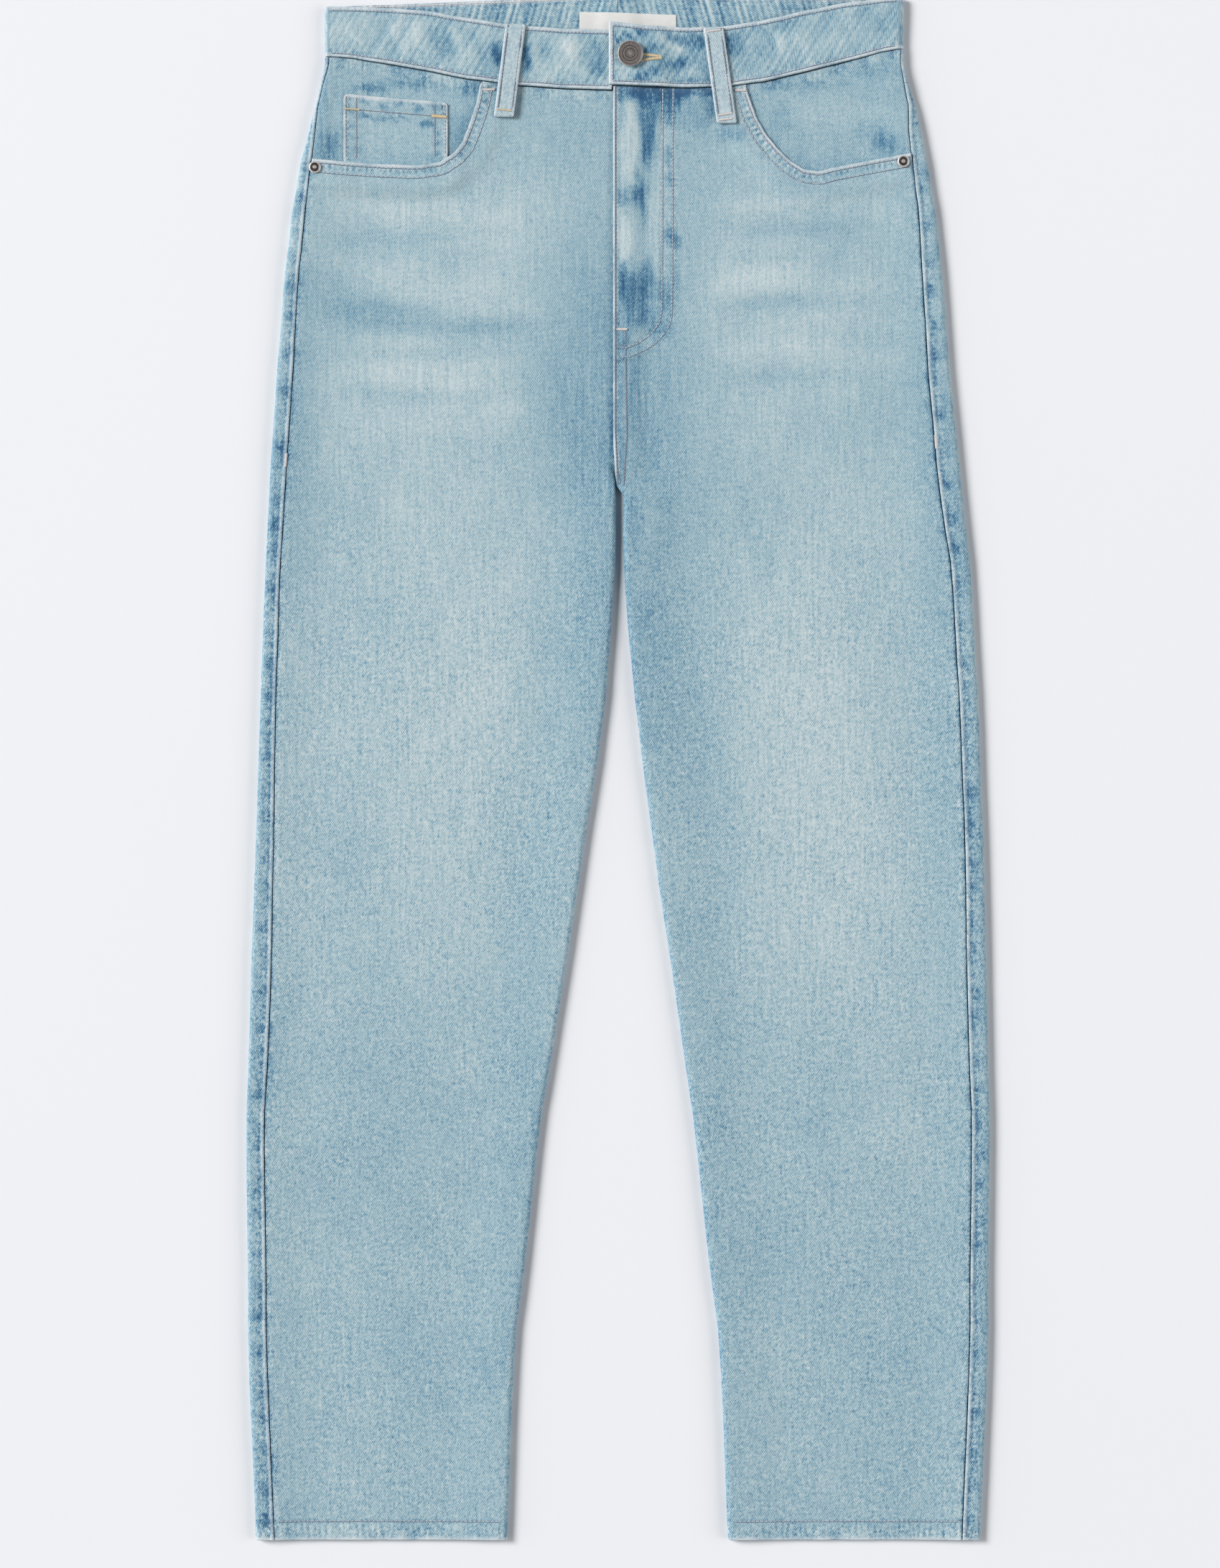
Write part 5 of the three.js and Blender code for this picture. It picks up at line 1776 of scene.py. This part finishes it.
def denim_material():
    tree = Tree(bpy.data.materials.new("denim_twill"))
    cloth = tree.attribute("cloth", "Vector")
    wash, rub, grain = map(tree.attribute, ("wash", "rub", "grain"))
    across = tree.vector("DOT_PRODUCT", cloth, TWILL_WAY, "Value")
    along = tree.vector("DOT_PRODUCT", cloth, TWILL_ALONG, "Value")
    twill, ribs = twill_lines(tree, cloth, across), fine_puckers(tree)
    strong = tree.math("ABSOLUTE", wash)
    value = [(wash, WASH_AND_SHADE_SHARE), (twill, TWILL["colour"]), (ribs, RIB["colour"]), (BASE_VALUE, 1.0)]
    relief = [(twill, TWILL["relief"]), (ribs, RIB["relief"])]
    noises = {}
    for row in DENIM_NOISE:
        where = tree.joined(across, along) if row["name"] == "dash" else cloth
        noise = tree.noise(where, (row["across"], row["along"], 1.0), row["detail"], row["rough"])
        weight = tree.total((strong, row["by_wash"]), (grain, row["by_grain"]), (row["plain"], 1.0))
        value.append((noise, weight))
        relief.append((noise, row["relief"]))
        noises[row["name"]] = noise
    share = tree.math("MULTIPLY_ADD", tree.total(*value), 0.5, 0.5)
    shade = tree.colours(share, [list(row.values()) for row in DENIM_COLOURS])
    uneven = tree.total((noises["speck"], 0.22), (noises["dash"], 0.12), (0.84, 1.0))
    worn = tree.math("MULTIPLY", rub, uneven)
    worn = tree.math("MINIMUM", tree.math("MAXIMUM", worn, 0.0), MOST_WORN)
    colour = tree.blend(worn, shade, linear(WORN_COLOUR))
    return tree.finish(colour, 0.88, tree.total(*relief), MM, Sheen_Weight=0.15, Sheen_Roughness=0.45,
                       Specular_IOR_Level=0.22)


PLY_SIZE = 0.6 * MM
TONE_SIZE = 12 * MM


def thread_material(name, light, dark):
    tree = Tree(bpy.data.materials.new(name))
    ply, tone = (tree.noise(tree.place(), even(size)) for size in (PLY_SIZE, TONE_SIZE))
    share = tree.total((ply, 0.25), (tone, 0.22), (0.5, 1.0))
    colour = tree.colours(share, [(0.1, *dark), (0.9, *light)])
    return tree.finish(colour, 0.8, ply, 0.08 * MM, 0.6, Sheen_Weight=0.15)


METAL_COLOURS = [(0.0, 62, 58, 57), (0.25, 108, 100, 98), (0.45, 140, 132, 129), (1.0, 232, 228, 224)]


def metal_material():
    tree = Tree(bpy.data.materials.new("antiqued_metal"))
    tarnish = tree.noise(tree.place(), even(1.6 * MM), 4.0, 0.6)
    fine = tree.noise(tree.place(), even(0.4 * MM), 2.0)
    share = tree.total((tree.attribute("rub"), 0.85), (tarnish, 0.07), (fine, 0.05), (0.04, 1.0))
    rough = tree.math("MULTIPLY_ADD", tarnish, 0.08, 0.38)
    return tree.finish(tree.colours(share, METAL_COLOURS), rough, fine, 0.04 * MM, 0.5, Metallic=0.35)


def label_material():
    tree = Tree(bpy.data.materials.new("label_weave"))
    cloth = tree.attribute("cloth", "Vector")
    crosswise = tree.vector("MULTIPLY", cloth, (0, 1, 0))
    wave = {"Vector": crosswise, "Scale": 1.9, "Distortion": 0.4, "Detail": 1.0}
    rib = tree.add("ShaderNodeTexWave", wave, bands_direction="Y").outputs["Fac"]
    thread = tree.noise(cloth, (0.5, 2.5, 1.0), 2.0)
    tone = tree.noise(cloth, (9.0, 7.0, 1.0), 2.0)
    share = tree.total((rib, 0.18), (thread, 0.14), (tone, 0.12), (0.45, 1.0))
    colour = tree.colours(share, [(0.0, 214, 212, 208), (0.6, 236, 235, 232), (1.0, 247, 247, 245)])
    return tree.finish(colour, 0.75, tree.total((rib, 0.7), (thread, 0.4)), 0.08 * MM, 0.7, Sheen_Weight=0.2)


def floor_material():
    tree = Tree(bpy.data.materials.new("studio_floor"))
    share = tree.total((tree.noise(tree.place(), (0.35, 0.5, 1.0)), 0.1), (0.5, 1.0))
    colour = tree.colours(share, [(0.0, 236, 237, 241), (1.0, 242, 242, 244)])
    return tree.finish(colour, 0.9, Specular_IOR_Level=0.1)


DENIM = denim_material()
METAL = metal_material()
LABEL_CLOTH = label_material()
# Colour of the dents and of the painted shadow beside the stitches
DENT_SHADOW_CLOTH = thread_material("dented_cloth", (112, 142, 162), (62, 92, 118))
PALE_THREAD = thread_material("thread_pale", (222, 224, 228), (170, 172, 182))
TAUPE_THREAD = thread_material("thread_taupe", (176, 168, 172), (112, 104, 112))
PINK_THREAD = thread_material("thread_pinkish", (238, 232, 229), (208, 196, 194))
GOLD_THREAD = thread_material("thread_gold", (236, 222, 192), (206, 186, 148))


# The pieces. Each stands for the solid node of the same name, and its own name has an ending more.


def stands_for_node(piece):
    node = piece.name.removesuffix(ENDING)
    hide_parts(node)


for side in SIDES:
    for make in (front_panel, back_panel, yoke, waistband, facing, back_pocket):
        stands_for_node(make(side))
stands_for_node(coin_pocket())
for seed, row in enumerate(FRONT_LOOPS):
    stands_for_node(front_loop(row, seed + 1))
for seed, (name, x) in enumerate((("right", -BACK_LOOP["out"]), ("centre", 0.0), ("left", BACK_LOOP["out"]))):
    stands_for_node(back_loop("belt_loop_back_" + name, x, seed + 4))
stands_for_node(label())
for piece in (button(), *map(rivet, RIVETS)):
    stands_for_node(piece)


# The sewing, each row as (x, down) on the piece that carries it

def line_of(x, down):
    x, down = np.broadcast_arrays(np.asarray(x, float), np.asarray(down, float))
    return Line(np.stack([x, down], axis=1))


def front_height(side):
    return lambda x, down: front_surface(side, side.sign * x, down)


def band_height(side):
    return lambda x, down: band_surface(side, side.sign * x, down)


def under_height(x, down):
    """Just inside the underside, where only the thread's outer half shows."""
    return back_lift(np.abs(x), down) - 0.02


def pocket_height(x, down):
    """Level with the underside of the back pockets."""
    return PATCH_BOTTOM + 0 * x


HEM_ROW = LENGTH - 12.5
SCOOP_ROWS = (2.3, 8.4)
SCOOP_TACKS = table("""
    side   x0     x1     down
    right  -88.8  -81.6  63.0
    left   77.6   84.2   63.6
""")
OUTSEAM_TACKS = dict(right=304.0, left=292.0)
TACK_LENGTH = 8.5
CROTCH_ROWS = table("""
    x0    down0  x1   down1  x2   down2
    -1.6  60.5   -1.6 290.0  0.2  325.5
    5.0   222.0  6.0  292.0  3.6  327.0
""")


def sew_front(side):
    thread = Sewing("stitching_front_" + side.name, "front_panel_" + side.name, PALE_THREAD)
    tacks = Sewing("tacks_front_" + side.name, "front_panel_" + side.name, PINK_THREAD)
    height = front_height(side)
    for aside in SCOOP_ROWS:
        thread.row(side.scoop_line, height, 3.5, side.scoop_line.length - 0.5, side.sign * aside, radius=0.34)
    row = next(row for row in SCOOP_TACKS if row["side"] == side.name)
    tacks.bar(line_of([row["x0"], row["x1"]], row["down"]), height, 1.7)
    outs = np.array([side.out_edge(HEM_ROW) - 1, side.inner(HEM_ROW) + 3])
    thread.row(line_of(side.sign * outs, HEM_ROW), height)
    if side is LEFT:
        for line in (J_OUTER, J_INNER):
            thread.row(line, height, 0.5, radius=0.3, pitch=2.5)
        fly = Sewing("stitching_fly", "front_panel_left", TAUPE_THREAD)
        for row in CROTCH_ROWS:
            points = [(row["x%d" % k], row["down%d" % k]) for k in range(3)]
            fly.row(Line(points), height, radius=0.32, pitch=2.4)
        fly.make()
        tacks.bar(line_of([-0.6, 6.4], 221.6), height, 1.8)
    thread.make()
    tacks.make()


def sew_outseam(side):
    """A tack along the outseam, below the pocket's opening."""
    tacks = Sewing("tacks_outseam_" + side.name, "back_panel_" + side.name, PINK_THREAD)
    start = OUTSEAM_TACKS[side.name]
    down = np.linspace(start, start + TACK_LENGTH, 3)
    out = side.out_edge(down) + 0.9
    tacks.bar(line_of(side.sign * out, down), lambda x, d: resting_top(side, side.sign * x, d) + 0.1, 1.8)
    tacks.make()


BAND_STITCH = dict(radius=0.34, pitch=2.4)
BAND_INSET = 2.6
INSIDE_STITCH = dict(pitch=2.2, gap=0.3, radius=0.4, dent=0)


def sew_band(side):
    thread = Sewing("stitching_waistband_" + side.name, "waistband_" + side.name, PALE_THREAD)
    height = band_height(side)
    start = BAND_LAP["start"] + BAND_INSET if side is LEFT else 6.5
    outs = np.linspace(start, side.band_fold, 120)
    for edge in (side.band_top(outs) + 2.5, side.waist_seam(outs) - BAND_INSET):
        thread.row(line_of(side.sign * outs, edge), height, **BAND_STITCH)
    if side is LEFT:
        ends = (float(side.band_top(start)) + BAND_INSET, float(side.waist_seam(start)) - BAND_INSET)
        thread.row(line_of(start, np.linspace(*ends, 20)), height, **BAND_STITCH)
    outs = np.linspace(side.band_fold - 1, 1, 100)
    for edge, aside in ((back_band_top, 2.5), (back_seam, -2.8)):
        thread.row(line_of(side.sign * outs, edge(side, outs) + aside), under_height, pitch=2.4, dent=0)
    thread.make()
    inside = Sewing("stitching_band_inside_" + side.name, "waistband_" + side.name, PINK_THREAD)
    outs = np.linspace(side.band_fold - 4, 1, 100)
    inside.row(line_of(side.sign * outs, back_band_top(side, outs) + 1.4),
               lambda x, d: back_lift(np.abs(x), d) + BAND_CLOTH, **INSIDE_STITCH)
    inside.make()


COIN_ROW = 8.6


def sew_coin():
    thread = Sewing("stitching_coin_pocket", "coin_pocket", TAUPE_THREAD)
    gold = Sewing("tacks_coin_pocket", "coin_pocket", GOLD_THREAD)

    def height(x, down):
        return coin_top(-x, down) + coin_marks(-x, down)["height"]

    outer, inner = -COIN["outer_out"], -COIN["inner_out"]
    for x, dent in ((outer + COIN_ROW, 0.32), (inner - COIN_ROW, 0.32), (outer + 1.7, 0), (inner - 1.7, 0)):
        ends = [float(coin_upper(-x)) + 2, float(RIGHT.scoop(-x)) - 2]
        thread.row(line_of(x, ends), height, radius=0.28, pitch=2.5, dent=dent)
    xs = np.array([outer + 1.6, inner - 1.6])
    thread.row(line_of(xs, coin_upper(-xs) + COIN_HEM), height, radius=0.32, pitch=2.5, dent=0.25)
    for x0, x1, width in ((outer + 1.6, outer + 10.5, 1.2), (inner - 10.5, inner - 0.8, 2.3)):
        ends = np.array([x0, x1])
        gold.bar(line_of(ends, coin_upper(-ends) + COIN_HEM), height, width)
    thread.make()
    gold.make()


LOOP_TACKS = table("""
    name                   from_end  at
    belt_loop_front_right  bottom    4.6
    belt_loop_front_left   bottom    2.6
    belt_loop_front_left   bottom    6.0
    belt_loop_front_left   top       2.6
""")


def sew_loops():
    for row in FRONT_LOOPS:
        colour = GOLD_THREAD if row["x0"] < 0 else PINK_THREAD
        thread = Sewing(row["name"] + "_stitching", row["name"], TAUPE_THREAD)
        tacks = Sewing(row["name"] + "_tacks", row["name"], colour)
        spine = Line([(row["x0"], row["down0"]), (row["x1"], row["down1"])])

        def height(x, down):
            share = (down - row["down0"]) / (row["down1"] - row["down0"])
            return loop_base(row, mix(row["x0"], row["x1"], share), down) + LOOP_CLOTH + 0.3

        for aside in (2.0 - LOOP_WIDTH / 2, LOOP_WIDTH / 2 - 2.0):
            thread.row(spine, height, 1.5, spine.length - 3, aside, radius=0.3, pitch=2.4)
        for tack in LOOP_TACKS:
            if tack["name"] == row["name"]:
                middle = spine.length - tack["at"] if tack["from_end"] == "bottom" else tack["at"]
                across = spine.at(np.array([middle, middle]), np.array([-4.6, 4.6]))
                tacks.bar(line_of(*across.T), height, 1.3)
        thread.make()
        tacks.make()


BUTTONHOLE = dict(outs=[15.0, 21.9, 28.8], down=42.0, halves=np.array([2.0, 1.2, 0.5]))


def sew_buttonhole():
    """The gold stitches round the buttonhole, which closes to a point away from the button."""
    thread = Sewing("buttonhole_stitching", "waistband_left", GOLD_THREAD)
    height = band_height(LEFT)
    for way in (-1, 1):
        line = line_of(BUTTONHOLE["outs"], BUTTONHOLE["down"] + way * BUTTONHOLE["halves"])
        thread.bar(line, height, 2.0, pitch=0.6, radius=0.34)
    thread.make()


BACK_ROWS = (2.0, 8.0)


def sew_back(side):
    thread = Sewing("stitching_back_" + side.name, "back_panel_" + side.name, PALE_THREAD)
    outs = np.linspace(side.outer(80) - 8, 2, 80)
    for aside in BACK_ROWS:
        thread.row(line_of(side.sign * outs, yoke_seam(outs) - aside), under_height, dent=0)
    downs = np.linspace(YOKE_AT_CENTRE + 2, CROTCH - 8, 60)
    for out in BACK_ROWS:
        thread.row(line_of(side.sign * out, downs), under_height, dent=0)
    for inset in BACK_ROWS:
        half = BACK_POCKET["width"] / 2
        length = BACK_POCKET["length"]
        corners = [(-1, 0), (-1, 1), (0, 1), (1, 1), (1, 0)]
        points = []
        for across, share in corners:
            x, down = back_pocket_place(side, across * (1 - inset / half), share * (1 - inset / length))
            points.append((float(x), float(down)))
        thread.row(Line(points), pocket_height, 1.0, dent=0)
    mouth = np.array([back_pocket_place(side, across, 0) for across in (-0.97, 0.97)], float)
    for drop in (3.0, 12.0):
        thread.row(line_of(mouth[:, 0], mouth[:, 1] + drop), pocket_height, dent=0)
    outs = np.array([float(side.outer(HEM_ROW)) - FOLD_RADIUS, float(back_inner(side, HEM_ROW)) + 1])
    thread.row(line_of(side.sign * outs, HEM_ROW), under_height, dent=0)
    thread.make()


for side in SIDES:
    sew_front(side)
    sew_outseam(side)
    sew_band(side)
    sew_back(side)
sew_coin()
sew_loops()
sew_buttonhole()


# Each cloth piece as it was cut, lying where it is worn: widths and lengths in mm, areas in mm2

SHEETS = table("""
    node                   width  length  area    on
    front_panel_right      246    966     189000  back_panel_right
    front_panel_left       246    966     186000  back_panel_left
    back_panel_right       266    966     204000  back_pocket_right
    back_panel_left        266    966     204000  back_pocket_left
    yoke_right             206    76      8600    belt_loop_back_right
    yoke_left              206    76      9000    belt_loop_back_left
    waistband_right        416    41      15250   yoke_right
    waistband_left         390    41      14600   yoke_left
    pocket_facing_right    126    90      7600    back_panel_right
    pocket_facing_left     126    90      7500    back_panel_left
    coin_pocket            69     56      3500    pocket_facing_right
    back_pocket_right      144    148     19100   floor
    back_pocket_left       144    148     19100   floor
    belt_loop_front_right  13.4   64.5    850     waistband_right
    belt_loop_front_left   13.4   64.5    850     waistband_left
    belt_loop_back_right   13.1   59      740     floor
    belt_loop_back_centre  13.1   59      740     floor
    belt_loop_back_left    13.1   59      740     floor
    label                  64.2   23.1    1470    waistband_left
""")


# Stage, light and camera

PHOTO_CENTRE = (-5.2, -11.0)
PHOTO_HEIGHT = 1037.4
CAMERA_HEIGHT = 3006.0
CAMERA_TO_CLOTH = 3000.0
SENSOR = 24.0
SIDE_LIGHT_TOP = 5.9  # so strong from the side gives the floor as much as an even light of 1
FLOOR_REACH = 8.0  # in metres, as are the places of the lamps
FLOOR_HEIGHT = -0.4
CORNERS = ((-1, -1), (1, -1), (1, 1), (-1, 1))

# Round lamps that face the middle of the floor: places and widths in metres, power in watts
LAMPS = table("""
    name  x      y     z     size  power
    key   -13.0  4.6   11.3  7.5   3070
    fill  6.5    -0.8  4.1   5.0   145
""")


def stage():
    mesh = bpy.data.meshes.new("floor")
    mesh.from_pydata([(x * FLOOR_REACH, y * FLOOR_REACH, 0) for x, y in CORNERS], [], [(0, 1, 2, 3)])
    mesh.materials.append(floor_material())
    floor = bpy.data.objects.new("floor", mesh)
    floor.location.z = FLOOR_HEIGHT * MM
    bpy.context.scene.collection.objects.link(floor)


def area_light(row):
    data = bpy.data.lights.new(row["name"], "AREA")
    data.shape = "DISK"
    data.size = row["size"]
    data.energy = row["power"]
    lamp = bpy.data.objects.new(row["name"], data)
    lamp.location = [row[axis] for axis in "xyz"]
    lamp.rotation_euler = (-Vector(lamp.location)).to_track_quat("-Z", "Y").to_euler()
    bpy.context.scene.collection.objects.link(lamp)


def side_light(share):
    """Soft light all round, brightest from the left and right and dark straight above."""
    tree = Tree(bpy.data.worlds.new("studio"))
    sideways = tree.add("ShaderNodeSeparateXYZ", {0: tree.place("Generated")}).outputs["X"]
    fall = tree.math("POWER", tree.math("ABSOLUTE", sideways), 3)
    background = tree.add("ShaderNodeBackground", {
        "Color": (0.985, 0.99, 1.0, 1), "Strength": tree.math("MULTIPLY", fall, SIDE_LIGHT_TOP * share)})
    tree.add("ShaderNodeOutputWorld", {0: background.outputs[0]})
    return tree.holder


def camera():
    data = bpy.data.cameras.new("camera")
    data.sensor_fit = "VERTICAL"
    data.sensor_height = SENSOR
    data.lens = SENSOR * CAMERA_TO_CLOTH / PHOTO_HEIGHT
    data.clip_start = 0.05
    eye = bpy.data.objects.new("camera", data)
    eye.location = [size * MM for size in (*PHOTO_CENTRE, CAMERA_HEIGHT)]
    bpy.context.scene.collection.objects.link(eye)
    bpy.context.scene.camera = eye


stage()
for row in LAMPS:
    area_light(row)
bpy.context.scene.world = side_light(0.30)
bpy.context.scene.view_settings.view_transform = "Standard"
camera()
